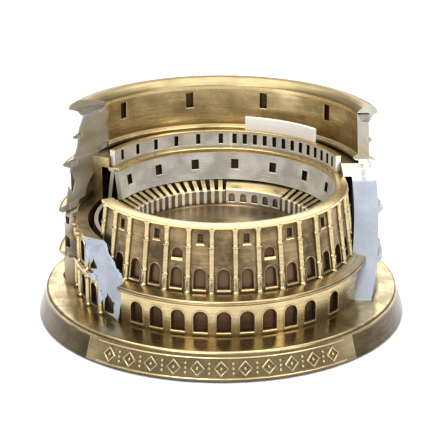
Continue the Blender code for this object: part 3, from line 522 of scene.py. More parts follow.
class Finish:
    """Adds nodes to a new material, from the coordinates to the shader."""

    def __init__(self, name):
        self.material = bpy.data.materials.new(name)
        self.material.use_nodes = True
        self.tree = self.material.node_tree
        self.shader = self.tree.nodes["Principled BSDF"]

    def add(self, kind, settings=(), **sockets):
        """A node with its settings, and with its sockets set to a value or fed by another node."""
        made = self.tree.nodes.new(kind)
        for name, value in dict(settings).items():
            setattr(made, name, value)
        for name, value in sockets.items():
            self.feed(made.inputs[name.replace("_", " ")], value)
        return made

    def feed(self, socket, value):
        if isinstance(value, bpy.types.NodeSocket):
            self.tree.links.new(value, socket)
        else:
            socket.default_value = value

    def worked(self, operation, first, second=0.0):
        made = self.add("ShaderNodeMath", {"operation": operation})
        self.feed(made.inputs[0], first)
        self.feed(made.inputs[1], second)
        return made.outputs[0]

    def plus(self, first, second):
        return self.worked("ADD", first, second)

    def times(self, first, second):
        return self.worked("MULTIPLY", first, second)

    def spread(self, value, low, high, to_low=0.0, to_high=1.0):
        """A value taken from one range to another, with smooth ends."""
        made = self.add("ShaderNodeMapRange", {"interpolation_type": "SMOOTHSTEP"}, Value=value)
        ends = {"From Min": low, "From Max": high, "To Min": to_low, "To Max": to_high}
        for socket, end in ends.items():
            self.feed(made.inputs[socket], end)
        return made.outputs["Result"]

    def mix(self, factor, first, second):
        made = self.add("ShaderNodeMix", {"data_type": "RGBA"})
        self.feed(made.inputs["Factor"], factor)
        self.feed(made.inputs[6], first)
        self.feed(made.inputs[7], second)
        return made.outputs[2]

    def noise(self, place, scale, detail=3.0, roughness=0.5):
        how = {"Scale": scale, "Detail": detail, "Roughness": roughness}
        return self.add("ShaderNodeTexNoise", Vector=place, **how).outputs["Fac"]

    def here(self):
        """The object's own coordinates, which are the model's."""
        return self.add("ShaderNodeTexCoord").outputs["Object"]

    def occlusion(self, distance, samples, inside=False):
        settings = {"samples": samples, "inside": inside}
        return self.add("ShaderNodeAmbientOcclusion", settings, Distance=distance).outputs["AO"]

    def result(self, colour, roughness, metallic=0.0):
        """Feed the shader."""
        self.feed(self.shader.inputs["Base Color"], colour)
        self.feed(self.shader.inputs["Roughness"], roughness)
        self.feed(self.shader.inputs["Metallic"], metallic)
        return self.material

    def bumped(self, height, distance, strength):
        made = self.add("ShaderNodeBump", Strength=strength, Distance=distance, Height=height)
        self.feed(self.shader.inputs["Normal"], made.outputs["Normal"])


def solid(value, share=1.0):
    """A shader's colour, with a share of its brightness."""
    return (value[0] * share, value[1] * share, value[2] * share, 1.0)


def antique_bronze(
    name,
    body,
    rubbed,
    recess,
    gloss=0.30,
    stain=0.5,
    brushed=1.0,
    reach_in=1.6 * MM,
    metal=1.0,
    stained_below=0.0,
):
    """Plated casting: dark in its recesses, rubbed bright on what stands out, brushed round.

    The stain is how much of the body's colour covers the rubbed one, in blotches. The patina and
    painted shade reach out of a recess as far as reach_in.
    """
    finish = Finish(name)
    plus, times, spread, mix = finish.plus, finish.times, finish.spread, finish.mix
    place = finish.here()
    x, y, z = finish.add("ShaderNodeSeparateXYZ", Vector=place).outputs
    from_axis = finish.worked("SQRT", plus(times(x, x), times(y, y)))
    across = times(plus(from_axis, z), 3600.0)
    lines_at = finish.add("ShaderNodeCombineXYZ", X=times(x, 110.0), Y=times(y, 110.0), Z=across)
    lines = finish.noise(lines_at.outputs["Vector"], 1.0, 2.0, 0.6)
    blotches = finish.noise(place, 150.0, 4.0, 0.6)
    grain = finish.noise(place, 2400.0, 2.0)

    # Occlusion mask: darkens hollows and the underside of mouldings to the recess colour, partly
    # real patina and partly painted shade.
    hollow = finish.occlusion(reach_in, 6)
    edge = finish.occlusion(0.35 * MM, 4, inside=True)
    patina_and_shade = spread(plus(hollow, times(blotches, 0.18)), 0.98, 0.42)
    wear = spread(edge, 0.86, 0.55)
    cover = spread(blotches, 0.35, 0.68, 0.0, stain)
    streak = spread(lines, 0.3, 0.72, 0.0, 0.42 * brushed)

    tone = mix(cover, solid(rubbed), solid(body))
    tone = mix(streak, tone, solid(body, 0.72))
    tone = mix(wear, tone, solid([min(1.0, value * 1.15) for value in rubbed]))
    # Painted shade: the plinth's side is painted dark below the deck, for the dim sides of the
    # studio mirrored in it.
    if stained_below:
        ragged = plus(z, times(blotches, 2.0 * MM))
        low, high = stained_below - 0.2 * MM, stained_below + 0.8 * MM
        tone = mix(spread(ragged, high, low, 0.0, 0.86), tone, solid(recess))
    tone = mix(patina_and_shade, tone, solid(recess))

    dull = plus(times(lines, 0.16 * brushed), times(patina_and_shade, 0.28))
    rough = plus(plus(dull, times(blotches, 0.10)), gloss - 0.12)
    finish.bumped(plus(times(lines, brushed), times(grain, 0.5)), 0.012 * MM, 0.35)
    return finish.result(tone, rough, spread(patina_and_shade, 0.3, 1.0, metal, metal * 0.55))


# Each finish is a colour and its share for the body, the rubbed places and the recesses (patina and
# painted shade), then where it differs from a plain casting.
RECIPES = {
    "bronze_panel": (
        ("bronze", 0.4), ("bronze", 1.8), ("recess", 1.0),
        dict(gloss=0.32, stain=0.95, reach_in=2.4 * MM),
    ),
    "bronze_relief": (
        ("bronze", 1.5), ("rubbed", 1.0), ("recess", 1.0),
        dict(gloss=0.26, stain=0.35, reach_in=0.9 * MM),
    ),
    "bronze_course": (
        ("bronze", 1.0), ("rubbed", 0.72), ("recess", 1.0),
        dict(gloss=0.27, stain=0.5, reach_in=0.8 * MM),
    ),
    "bronze_wall": (("bronze", 1.0), ("rubbed", 1.0), ("recess", 1.0), dict(stain=0.75)),
    "attic_metal": (("bronze", 1.5), ("rubbed", 1.2), ("recess", 1.0), dict(gloss=0.27, stain=0.7)),
    "bronze_cover": (
        ("bronze", 1.3), ("rubbed", 0.8), ("recess", 1.0),
        dict(gloss=0.24, stain=0.8, reach_in=1.1 * MM),
    ),
    # The plinth's finish paints shade on its side below the deck.
    "bronze_plinth": (
        ("bronze", 1.0), ("rubbed", 1.0), ("recess", 1.0),
        dict(gloss=0.22, stain=0.8, reach_in=1.2 * MM, stained_below=DECK - 0.5 * MM),
    ),
    "gold_rim": (
        ("rubbed", 1.1), ("gold", 1.0), ("bronze", 1.0),
        dict(gloss=0.24, stain=0.4, reach_in=0.7 * MM),
    ),
    "crown_gold": (("rubbed", 0.34), ("gold", 0.48), ("bronze", 1.0), dict(stain=0.6)),
    # The pale wall finish paints the white reflection of the bright light above into the wall's
    # colour.
    "pale_wall": (
        ("pale", 0.55), ("pale", 1.0), ("recess", 1.0),
        dict(stain=0.9, brushed=0.4, reach_in=0.9 * MM, metal=0.5),
    ),
    # Painted highlight: the screen's white stands for bright light mirrored in it.
    "white_panel": (
        ("pale", 0.9), ("pale", 1.0), ("bronze", 1.0),
        dict(gloss=0.38, stain=0.3, brushed=0.2, metal=0.1),
    ),
    # The ruin's broken face: a painted reflection of pale blue light.
    "pale_cut": (
        ("cut", 0.5), ("cut", 0.72), ("bronze", 1.0),
        dict(gloss=0.52, stain=0.6, brushed=0.25, reach_in=0.8 * MM, metal=0.4),
    ),
    # Cut end faces: the pale colour on them is a painted highlight.
    "pale_end": (
        ("rubbed", 0.7), ("pale", 0.58), ("bronze", 1.0),
        dict(gloss=0.36, stain=0.8, metal=0.7),
    ),
    # The buttress slope: a painted reflection of pale blue light.
    "smooth_cut": (
        ("cut", 0.40), ("cut", 0.55), ("bronze", 1.0),
        dict(gloss=0.40, stain=0.7, brushed=0.4, metal=0.45),
    ),
    "arena_metal": (("bronze", 0.6), ("bronze", 1.4), ("recess", 1.0), dict(gloss=0.32, stain=0.8)),
    "dark_recess": (("recess", 2.2), ("recess", 4.0), ("recess", 0.8), dict(gloss=0.34)),
    "dark_metal": (("recess", 1.0), ("bronze", 1.0), ("recess", 1.0), dict(gloss=0.45, stain=0.9)),
}


def looks(name):
    """The named finish, made when it is first asked for."""
    if name in bpy.data.materials:
        return bpy.data.materials[name]
    tint = bpy.context.scene.amphitheatre_finish
    *colours, differs = RECIPES[name]
    mixed = [[value * share for value in getattr(tint, colour)] for colour, share in colours]
    return antique_bronze(name, *mixed, **differs)


def pad_material():
    """Dark felt: a fine fibrous surface."""
    finish = Finish("pad_felt")
    fibres = finish.noise(finish.here(), 1800.0, 6.0, 0.7)
    finish.bumped(fibres, 0.05 * MM, 0.8)
    felt = finish.mix(fibres, solid((0.012, 0.012, 0.013)), solid((0.05, 0.05, 0.052)))
    return finish.result(felt, 0.95)


def screw_material():
    """Zinc-plated steel with a faint turned texture."""
    finish = Finish("zinc_steel")
    marks = finish.noise(finish.here(), 900.0, 4.0, 0.6)
    zinc = finish.mix(marks, solid((0.42, 0.42, 0.43)), solid((0.62, 0.61, 0.58)))
    return finish.result(zinc, finish.spread(marks, 0.2, 0.8, 0.25, 0.5), 1.0)


# --- pieces -----------------------------------------------------------------------------------

def new_piece(name, shape, finish, nodes=(), crease=32.0, cut_finish="pale_end"):
    """Make a shape a piece of the model, in place of the CAD nodes that it stands for.

    Faces with index 1 are recesses, and those with index 2 are where the wall was cut.
    """
    piece = held(name, shape)
    mesh = piece.data
    mesh.shade_smooth()
    mesh.set_sharp_from_angle(angle=radians(crease))
    mesh.materials.append(looks(finish))
    deepest = max(polygon.material_index for polygon in mesh.polygons)
    for extra in ("dark_recess", cut_finish)[:deepest]:
        mesh.materials.append(looks(extra))
    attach(piece, "root")
    if nodes:
        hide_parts(*nodes)
    return piece


def plinth_outline(settings):
    """The plinth's section outside the pad: deck, rounded edge, flared side and foot."""
    top_radius = PLINTH_RADIUS - settings.flare
    edge = arc(settings.edge, top_radius - settings.edge, DECK - settings.edge, 90.0, 8.0, 6)
    foot = 0.25 * MM
    edge.append((PLINTH_RADIUS - foot * 0.3, PLINTH_FOOT + foot))
    return edge + [(PLINTH_RADIUS - foot, PLINTH_FOOT)]


def make_plinth(settings):
    """The plinth behind its front cover, with the pad's shallow recess underneath."""
    inner = reach("base_pad")[1] + 0.1 * MM
    ceiling = PLINTH_FOOT + 1.0 * MM
    outline = [(0.0, DECK)] + plinth_outline(settings)
    outline += [(inner, PLINTH_FOOT), (inner, ceiling), (0.0, ceiling)]
    half = settings.cover_half_angle * 180.0 / pi
    body = sector(outline, FRONT + half, FRONT + 360.0 - half)
    bmesh.ops.remove_doubles(body, verts=body.verts, dist=WELD)
    new_piece("plinth_body", body, "bronze_plinth", ["plinth"])


def side_radius(settings, height):
    """The radius of the plinth's flared side at a height."""
    share = (height - PLINTH_FOOT) / (DECK - PLINTH_FOOT)
    return PLINTH_RADIUS - settings.flare * share


def make_front_cover(settings):
    """The plinth's front third, between its two seams."""
    outline = [(RING_INNER, DECK)] + plinth_outline(settings) + [(RING_INNER, PLINTH_FOOT)]
    half = (settings.cover_half_angle - settings.seam / PLINTH_RADIUS) * 180.0 / pi
    cover = sector(outline, FRONT - half, FRONT + half, pitch=0.9)
    new_piece("front_cover_plate", cover, "bronze_cover", ["front_cover"])


def lozenge(width, height, thickness, depth, chamfer):
    """An upright lozenge frame with a bead in its middle, on y = 0."""
    shape = bmesh.new()
    half_width, half_height = width / 2.0, height / 2.0
    outer = [(-half_width, 0.0), (0.0, -half_height), (half_width, 0.0), (0.0, half_height)]
    share = 1.0 - thickness * 2.6 / width
    carried(shape, loop(shape, outer, 0.0), [(x * share, z * share) for x, z in outer], 0.0)
    bevelled(pushed(shape, shape.faces[:], (0.0, depth, 0.0)), chamfer)
    added(shape, ball(thickness * 1.15), y=depth * 0.35)
    return shape


def make_relief(settings):
    """The row of lozenges and paired beads on the front cover, between two fine fillets."""
    sink = 0.15 * MM   # how far the ornament is set into the cover
    middle = (DECK + PLINTH_FOOT) / 2.0 - 0.3 * MM
    lean = settings.flare / (DECK - PLINTH_FOOT)
    span = 70.0        # degrees from the first lozenge to the last
    pitch = span / (settings.motifs - 1)
    width = radians(pitch) * PLINTH_RADIUS * 0.62
    single = lozenge(width, 3.9 * MM, 0.36 * MM, settings.relief + sink, 0.07 * MM)
    leaning(single, lean)
    bmesh.ops.translate(single, verts=single.verts, vec=(0.0, -sink, middle))
    angles = series(FRONT - span / 2.0, pitch, settings.motifs)
    lozenges = round_the_axis(single, side_radius(settings, middle), angles)
    bead = bmesh.new()
    for offset in (-1.15 * MM, 0.0, 1.15 * MM):
        added(bead, ball(0.36 * MM), y=-lean * offset, z=middle + offset)
    between = [angle + pitch / 2.0 for angle in angles[:-1]]
    beads = round_the_axis(bead, side_radius(settings, middle), between)
    fillets = []
    reaches = span / 2.0 + pitch * 0.7
    half = 0.16 * MM
    for height in (middle - 2.55 * MM, middle + 2.55 * MM):
        radius = side_radius(settings, height)
        outline = arc(half, radius, height, -90.0, 90.0, 5)
        outline += [(radius - half, height + half), (radius - half, height - half)]
        fillets.append(sector(outline, FRONT - reaches, FRONT + reaches, pitch=0.9))
    relief = joined(lozenges, beads, *fillets)
    new_piece("front_relief", relief, "bronze_relief")


def make_hidden_pieces():
    """Finishes for the CAD nodes that stay: the pad, the screws and the drum."""
    zinc = screw_material()
    finishes = {f"fixing_screw_{number}": zinc for number in (1, 2, 3)}
    finishes.update(base_pad=pad_material(), core_drum=looks("dark_metal"))
    for node, finish in finishes.items():
        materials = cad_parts[node].data.materials
        materials.clear()
        materials.append(finish)


def make_arena():
    """The smooth arena floor, with a fine raised rim where it meets the vaults."""
    rim = 0.35 * MM
    edge = VAULT_INNER + OVERLAP
    outline = [
        (0.0, ARENA_TOP),
        (VAULT_INNER - 1.5 * MM, ARENA_TOP),
        (VAULT_INNER - 1.3 * MM, ARENA_TOP + rim),
        (VAULT_INNER - 0.5 * MM, ARENA_TOP + rim),
        (edge, ARENA_TOP + rim * 1.5),
        (edge, VAULT_FOOT),
        (0.0, VAULT_FOOT),
    ]
    new_piece("arena_disc", turned(outline), "arena_metal", ["arena_floor"])


def vault_front(settings):
    return VAULT_FOOT + settings.vault_front


def make_vaults(settings):
    """The low front wall, the floor behind it and the radial walls that rise to the back."""
    front_top = vault_front(settings)
    front_wall, back_wall = 0.9 * MM, 1.0 * MM
    floor = VAULT_FOOT + 2.6 * MM
    start, end = 87.5, 408.5   # all round but for the podium
    section = softened([
        (VAULT_INNER, front_top),
        (VAULT_INNER + front_wall, front_top + 0.1 * MM),
        (VAULT_INNER + front_wall, floor),
        (VAULT_OUTER - back_wall, floor + 0.8 * MM),
        (VAULT_OUTER - back_wall, VAULT_TOP),
        (VAULT_OUTER + OVERLAP, VAULT_TOP),
        (VAULT_OUTER + OVERLAP, VAULT_FOOT),
        (VAULT_INNER, VAULT_FOOT),
    ], 0.12 * MM)
    base = sector(section, start, end)
    pitch = 5.0
    half = settings.fin / 2.0
    fin_outline = softened([
        (VAULT_INNER + 0.35 * MM, front_top - 0.2 * MM),
        (VAULT_INNER + 0.9 * MM, front_top + 0.35 * MM),
        (VAULT_OUTER - back_wall * 0.5, VAULT_TOP + 0.25 * MM),
        (VAULT_OUTER - back_wall * 0.5, floor - 0.5 * MM),
        (VAULT_INNER + 0.35 * MM, floor - 0.5 * MM),
    ], 0.15 * MM)
    fin = bmesh.new()
    face = fin.faces.new([fin.verts.new((-half, radius, height)) for radius, height in fin_outline])
    bevelled(pushed(fin, [face], (settings.fin, 0.0, 0.0)), 0.08 * MM)
    count = int((end - start) / pitch)
    first = start + (end - start - (count - 1) * pitch) / 2.0
    angles = series(first, pitch, count)
    fins = round_the_axis(fin, 0.0, angles)
    post = block(0.95 * MM, ARENA_TOP + 0.3 * MM, front_top + 0.05 * MM, 0.55 * MM, 0.08 * MM)
    posts = round_the_axis(post, VAULT_INNER - 0.22 * MM, angles)
    new_piece("vault_base", base, "bronze_wall", ["vault_ring"])
    new_piece("vault_fins", fins, "bronze_wall")
    new_piece("vault_posts", posts, "pale_wall")


def make_podium(settings):
    """The solid block at the back of the arena, smooth on top, with small arches in its front."""
    start, end = 49.0, 87.0
    arches = 5
    pitch = (end - start) / arches
    front_top = vault_front(settings) + 0.15 * MM
    opening = arch(1.75 * MM, ARENA_TOP + 0.8 * MM, front_top - 0.9 * MM)
    openings = [(opening, sunk(0.9 * MM, 0.07 * MM))]
    cell = curved_bay(VAULT_INNER, pitch, VAULT_FOOT, front_top, 1.2 * MM, openings, outward=-1.0)
    front = wall_of_bays([(cell, series(start + pitch / 2.0, pitch, arches))])
    section = softened([
        (VAULT_INNER + 0.5 * MM, front_top),
        (VAULT_OUTER + OVERLAP, VAULT_TOP),
        (VAULT_OUTER + OVERLAP, VAULT_FOOT),
        (VAULT_INNER + 0.5 * MM, VAULT_FOOT),
    ], 0.1 * MM)
    new_piece("podium_front", front, "pale_wall", ["podium_block"])
    new_piece("podium_top", sector(section, start, end), "bronze_relief")


# --- front ring -------------------------------------------------------------------------------

def ring_space():
    """Knives for the room behind the ends of the outer wall, where the ring is narrower."""
    outline = [(BUTTRESS_SIDE, ABOVE), (BEYOND, ABOVE), (BEYOND, -DECK), (BUTTRESS_SIDE, -DECK)]
    right = sector(outline, -30.0, 90.0)
    trim(right, Vector((0.0, BUTTRESS_FRONT, DECK)), BUTTRESS_LEAN)
    return right, sector(outline, 80.0, 227.5)


def make_arcade(settings):
    """The ring's lowest storey: arched niches with raised frames and pale sills."""
    foot, top = DECK - OVERLAP, COURSE_FOOT - GROOVE
    opening = arch(3.7 * MM, DECK + 0.95 * MM, DECK + 6.7 * MM)
    arched = [(opening, framed(settings.niche, settings.chamfer, 0.38 * MM, 0.16 * MM))]
    thickness = ARCADE_RADIUS - RING_INNER
    kinds = []
    first, pitch, count = ARCADE_BAYS
    start, end = first - pitch / 2.0, first + pitch * (count - 0.5)
    last = ARCADE_LAST
    runs = [(pitch, arched, series(first, pitch, count)), (BAY, arched, [last])]
    for low, high in ((end, last - BAY / 2.0), (last + BAY / 2.0, start + 360.0)):
        steps = max(1, round((high - low) / BAY))
        part = (high - low) / steps
        runs.append((part, [], series(low + part / 2.0, part, steps)))
    for part, openings, angles in runs:
        kinds.append((curved_bay(ARCADE_RADIUS, part, foot, top, thickness, openings), angles))
    wall = cut(wall_of_bays(kinds), *ring_space())
    new_piece("arcade_wall", wall, "bronze_relief", ["ground_arcade"])
    sill = block(3.9 * MM, DECK + 0.45 * MM, DECK + 0.98 * MM, 0.75 * MM, 0.08 * MM)
    sills = round_the_axis(sill, ARCADE_RADIUS - 0.45 * MM, series(*ARCADE_BAYS) + [last])
    new_piece("arcade_sills", sills, "gold_rim")


def make_string_course():
    """The heavy half-round moulding over the arcade, with a fillet above and below."""
    middle = (COURSE_FOOT + COURSE_TOP) / 2.0
    nose = (COURSE_TOP - COURSE_FOOT) / 2.0 * 0.82
    neck = ARCADE_RADIUS - 0.4 * MM
    top, foot = COURSE_TOP + OVERLAP, COURSE_FOOT - GROOVE - OVERLAP
    outline = [(RING_INNER, top), (ARCADE_RADIUS - 1.6 * MM, top), (neck, COURSE_TOP - 0.1 * MM)]
    outline += arc(nose, COURSE_RADIUS - nose, middle, 80.0, -80.0, 12)
    outline += [(neck, COURSE_FOOT + 0.05 * MM), (neck, foot), (RING_INNER, foot)]
    course = cut(turned(outline), *ring_space())
    new_piece("string_moulding", course, "bronze_course", ["string_course"])


def facade_face(settings):
    """The radius of the facade's leaning face, as a function of the height."""
    foot = RING_INNER + settings.facade_foot
    top = RING_INNER + settings.facade_top

    def radius(height):
        return foot + (top - foot) * (height - FACADE_FOOT) / (FACADE_TOP - FACADE_FOOT)
    return radius


def breach_knife(foot):
    """The room of the gap in the ring on its left, above a height."""
    outline = [(ARENA_RADIUS, ABOVE), (BEYOND, ABOVE), (BEYOND, foot), (ARENA_RADIUS, foot)]
    return sector(outline, BREACH_START, BREACH_END)


def make_facade(settings):
    """The ring's upper wall: a blind arch in each bay, and windows or niches above in some."""
    radius = facade_face(settings)
    width = radians(BAY) * (RING_INNER + settings.facade_foot)
    foot, top = FACADE_FOOT - OVERLAP, COPING_FOOT + OVERLAP
    chamfer = settings.chamfer
    arched = arch(3.2 * MM, FACADE_FOOT + 1.1 * MM, FACADE_FOOT + 6.4 * MM)
    niche = arch(2.9 * MM, FACADE_FOOT + 8.3 * MM, FACADE_FOOT + 11.3 * MM)
    window = square(1.7 * MM, FACADE_FOOT + 12.9 * MM, FACADE_FOOT + 15.4 * MM)
    low = (arched, framed(settings.niche, chamfer, 0.32 * MM, 0.14 * MM))
    middle = (niche, sunk(0.5 * MM, chamfer))
    high = (window, framed(0.6 * MM, chamfer, 0.3 * MM, 0.12 * MM))
    arched_bays = [201.0, 211.0, 231.0, 271.0, 311.0, 331.0, 341.0, 351.0, 361.0]
    blank_bays = series(371.0, BAY, 19)   # those that face the gallery
    kinds = []
    for openings, angles in (
        ([low], arched_bays),
        ([], blank_bays),
        ([low, high], WINDOW_BAYS),
        ([low, middle], NICHE_BAYS),
    ):
        cell = flat_bay(width, foot, top, settings.facade_top, openings)
        kinds.append((bent(cell, width, BAY, radius), angles))
    wall = cut(wall_of_bays(kinds), breach_knife(RUIN_TOP))
    new_piece("facade_wall", wall, "bronze_panel", ["facade_ring"])


def column(radius, section, sides):
    """A post about its own upright axis, from (share of the radius, height) pairs."""
    outline = [(radius * share, height) for share, height in section]
    return turned([(0.0, section[0][1])] + outline + [(0.0, section[-1][1])], sides)


def facade_column(settings):
    """One half column: a base block, a shaft with two ringed collars and a flared head."""
    foot, top = FACADE_FOOT - 0.2 * MM, COPING_FOOT + 0.1 * MM
    section = [(1.35, foot), (1.35, foot + 0.7 * MM), (1.05, foot + 1.0 * MM)]
    for collar in (FACADE_FOOT + 4.3 * MM, FACADE_FOOT + 12.2 * MM):
        section += [(1.02, collar - 0.45 * MM), (1.28, collar - 0.25 * MM), (1.34, collar)]
        section += [(1.28, collar + 0.25 * MM), (0.94, collar + 0.5 * MM)]
    section += [(0.98, top - 1.1 * MM), (1.2, top - 0.75 * MM), (1.32, top - 0.3 * MM), (1.32, top)]
    return column(settings.column_radius, section, 14)


def make_columns(settings):
    """The half columns round the facade, leaning back with it."""
    radius = facade_face(settings)
    single = facade_column(settings)
    slope = (settings.facade_foot - settings.facade_top) / (FACADE_TOP - FACADE_FOOT)
    bmesh.ops.translate(single, verts=single.verts, vec=(0.0, 0.0, -FACADE_FOOT))
    leaning(single, slope)
    bmesh.ops.translate(single, verts=single.verts, vec=(0.0, 0.0, FACADE_FOOT))
    columns = round_the_axis(single, radius(FACADE_FOOT) + 0.12 * MM, series(206.0, BAY, 17))
    new_piece("facade_columns", columns, "bronze_relief")


def make_facade_sills(settings):
    """Bright sills: under each blind arch, under the small windows and in the two middle niches."""
    radius = facade_face(settings)

    def sills(width, height, thickness, out, angles):
        low, high = height - thickness / 2.0, height + thickness / 2.0
        single = block(width, low, high, out + 0.4 * MM, 0.07 * MM)
        return round_the_axis(single, radius(height) - 0.4 * MM, angles)
    low = sills(3.5 * MM, FACADE_FOOT + 0.85 * MM, 0.42 * MM, 0.42 * MM, series(211.0, BAY, 16))
    high = sills(2.3 * MM, FACADE_FOOT + 12.55 * MM, 0.34 * MM, 0.32 * MM, WINDOW_BAYS)
    niche = sills(3.1 * MM, FACADE_FOOT + 8.45 * MM, 0.75 * MM, 0.25 * MM, NICHE_BAYS)
    new_piece("facade_sills", joined(low, high, niche), "gold_rim")


def make_liner():
    """The smooth wall inside the ring, with square blind windows."""
    pitch, count, last = 21.5, 14, 147.2
    step = pitch / 2.0   # a bay with a window, then a plain one
    foot, top = LINER_FOOT - OVERLAP, COPING_FOOT + OVERLAP
    slope = (COPING_INNER + 0.25 * MM - LINER_INNER) / (top - foot)
    opening = square(2.1 * MM, LINER_FOOT + 2.6 * MM, LINER_FOOT + 5.4 * MM)

    def cell(span, openings, strips):
        width = radians(span) * LINER_INNER
        flat = flat_bay(width, foot, top, 1.3 * MM, openings, strips)
        return bent(flat, width, span, lambda height: LINER_INNER + slope * (height - foot), -1.0)
    windows = series(last - pitch * (count - 1), pitch, count)
    plain = [angle + step for angle in windows[:-1]]
    start, end = windows[-1] + step / 2.0, windows[0] + 360.0 - step / 2.0
    wall = wall_of_bays([
        (cell(step, [(opening, sunk(0.9 * MM, 0.08 * MM))], 8), windows),
        (cell(step, [], 8), plain),
        (cell(end - start, [], max(2, round((end - start) / FINE))), [(start + end) / 2.0]),
    ])
    wall = cut(wall, breach_knife(RUIN_TOP))
    new_piece("liner_wall", wall, "pale_wall", ["inner_wall"])


def make_coping():
    """The bright rim on top of the ring."""
    outline = softened([
        (COPING_INNER, RING_TOP),
        (COPING_OUTER, RING_TOP),
        (COPING_OUTER, COPING_FOOT),
        (COPING_OUTER - 0.6 * MM, COPING_FOOT - OVERLAP),
        (COPING_INNER, COPING_FOOT - OVERLAP),
    ], 0.28 * MM)
    rim = sector(outline, BREACH_END, BREACH_START + 360.0)
    new_piece("ring_rim", rim, "gold_rim", ["ring_coping"])


# --- outer wall's ends ------------------------------------------------------------------------

def skewed(y, x, z, skew):
    """How far back the left end's cut stands at a distance x from the middle plane."""
    outside = sqrt(max(0.0, (CORNICE_RADIUS - 1.6 * MM) ** 2 - y ** 2))
    low = min(1.0, max(0.0, (CROWN_TOP - z) / (CROWN_TOP - STOREY_TOPS[1])))
    share = min(1.0, max(0.0, (z - STOREY_TOPS[0]) / (STOREY_TOPS[1] - STOREY_TOPS[0])))
    return y + skew * (1.0 + LEFT_END_STEEPENS * low) * share * (outside - x)


def end_knife(line, side, skew=0.0):
    """The room in front of a line of (y, z) points, on one side of the model.

    The skew carries the cut back as it goes in from the wall's outside to its inside.
    """
    shape = prism(line + [(-BEYOND, line[-1][1]), (-BEYOND, line[0][1])], BEYOND)
    if skew:
        bmesh.ops.translate(shape, verts=shape.verts, vec=(0.0, LEFT_END_INSIDE, 0.0))
        for vert in shape.verts:
            y, inwards, z = vert.co
            if y > -BEYOND:
                vert.co.x = skewed(y, inwards, z, skew)
    turn = Matrix(((0.0, side, 0.0), (1.0, 0.0, 0.0), (0.0, 0.0, 1.0)))
    bmesh.ops.transform(shape, matrix=turn.to_4x4(), verts=shape.verts)
    bmesh.ops.recalc_face_normals(shape, faces=shape.faces)
    return shape


def right_end_line():
    """The outer wall's right end: nearly upright, then a ledge above the buttress."""
    low = [(BUTTRESS_BACK, BUTTRESS_TOP), (BUTTRESS_BACK, -DECK)]
    return [(11.0 * MM, ABOVE), (11.0 * MM, ATTIC_TOP), (9.4 * MM, ATTIC_FOOT)] + low


def left_end_line(steps=48):
    """The outer wall's left end: a forward slope with soft waves, from the top to the plinth."""
    start, knee, waves = 15.6 * MM, 0.0, 3.0
    line = [(start, ABOVE), (start, ATTIC_TOP)]
    low = STOREY_TOPS[1]
    for step in range(1, steps + 1):
        share = step / steps
        wave = 0.55 * MM * sin(2.0 * pi * waves * share)
        back = start + (knee - start) * share ** 1.25
        line.append((back + wave, ATTIC_TOP + (low - ATTIC_TOP) * share))
    line.append((knee + 1.6 * MM, low - 1.6 * MM))
    return line + [(-3.0 * MM, STOREY_TOPS[0]), (-5.0 * MM, -DECK)]


def ends():
    """Knives for both ends of the outer wall."""
    return end_knife(right_end_line(), 1.0), end_knife(left_end_line(), -1.0, LEFT_END_SKEW)


# --- gallery ----------------------------------------------------------------------------------

def make_gallery_base():
    """The dark mass behind the ring, with the gallery's floor on top."""
    outer = STOREY_INNERS[0] + OVERLAP
    inner = GALLERY_OUTER - 0.1 * MM
    low, step = DECK - OVERLAP, GALLERY_FOOT - OVERLAP
    outline = [(inner, GALLERY_FLOOR), (outer, GALLERY_FLOOR), (outer, low)]
    outline += [(BUTTRESS_SIDE, low), (BUTTRESS_SIDE, step), (inner, step)]
    mass = cut(sector(outline, 0.0, BREACH_START), end_knife(right_end_line(), 1.0))
    new_piece("gallery_mass", mass, "bronze_wall", ["gallery_base"])


def make_colonnade():
    """The gallery's front wall, with slots that are close together on its right."""
    foot, top = GALLERY_FOOT - OVERLAP, GALLERY_TOP
    slot = square(1.25 * MM, GALLERY_FOOT + 0.5 * MM, GALLERY_FOOT + 3.5 * MM)
    section = sunk(1.1 * MM, 0.06 * MM)
    start, end = 15.5, 155.0
    close_pitch, close_count, close_first = 5.23, 13, 20.5
    wide_pitch, wide_count, wide_last = 11.5, 6, 147.7
    spans = [(angle, close_pitch, True) for angle in series(close_first, close_pitch, close_count)]
    spans += [(angle, wide_pitch, True) for angle in series(wide_last, -wide_pitch, wide_count)]
    close_end = close_first + close_pitch * (close_count - 0.5)
    wide_start = wide_last - wide_pitch * (wide_count - 0.5)
    plain = [
        (close_end, wide_start),
        (wide_last + wide_pitch / 2.0, end),
        (start, close_first - close_pitch / 2.0),
    ]
    spans += [((low + high) / 2.0, high - low, False) for low, high in plain]
    kinds = []
    for middle, pitch, slotted in spans:
        openings = [(slot, section)] if slotted else []
        strips = max(2, round(pitch / FINE))
        thickness = GALLERY_OUTER - GALLERY_INNER
        cell = curved_bay(GALLERY_INNER, pitch, foot, top, thickness, openings, -1.0, strips)
        kinds.append((cell, [middle]))
    wall = wall_of_bays(kinds)
    new_piece("colonnade_wall", wall, "pale_wall", ["gallery_colonnade"])
    inner, outer = GALLERY_INNER - 0.12 * MM, GALLERY_OUTER + 0.1 * MM
    high, low = GALLERY_TOP + 0.12 * MM, GALLERY_TOP - 0.3 * MM
    rim = softened([(inner, high), (outer, high), (outer, low), (inner, low)], 0.12 * MM)
    new_piece("colonnade_rim", sector(rim, start, end), "gold_rim")


def make_screen():
    """The blank raised screen on the gallery's right part."""
    inner, outer, low = SCREEN_INNER, GALLERY_OUTER, GALLERY_TOP - 0.2 * MM
    outline = [(inner, SCREEN_TOP), (outer, SCREEN_TOP), (outer, low), (inner, low)]
    screen = sector(softened(outline, 0.12 * MM), 38.5, 78.0)
    # The screen's white is a painted highlight.
    new_piece("screen_panel", screen, "white_panel", ["gallery_screen"])


# --- outer wall -------------------------------------------------------------------------------

def storey_face(settings, index):
    return CORNICE_RADIUS - settings.cornice - settings.setback * index


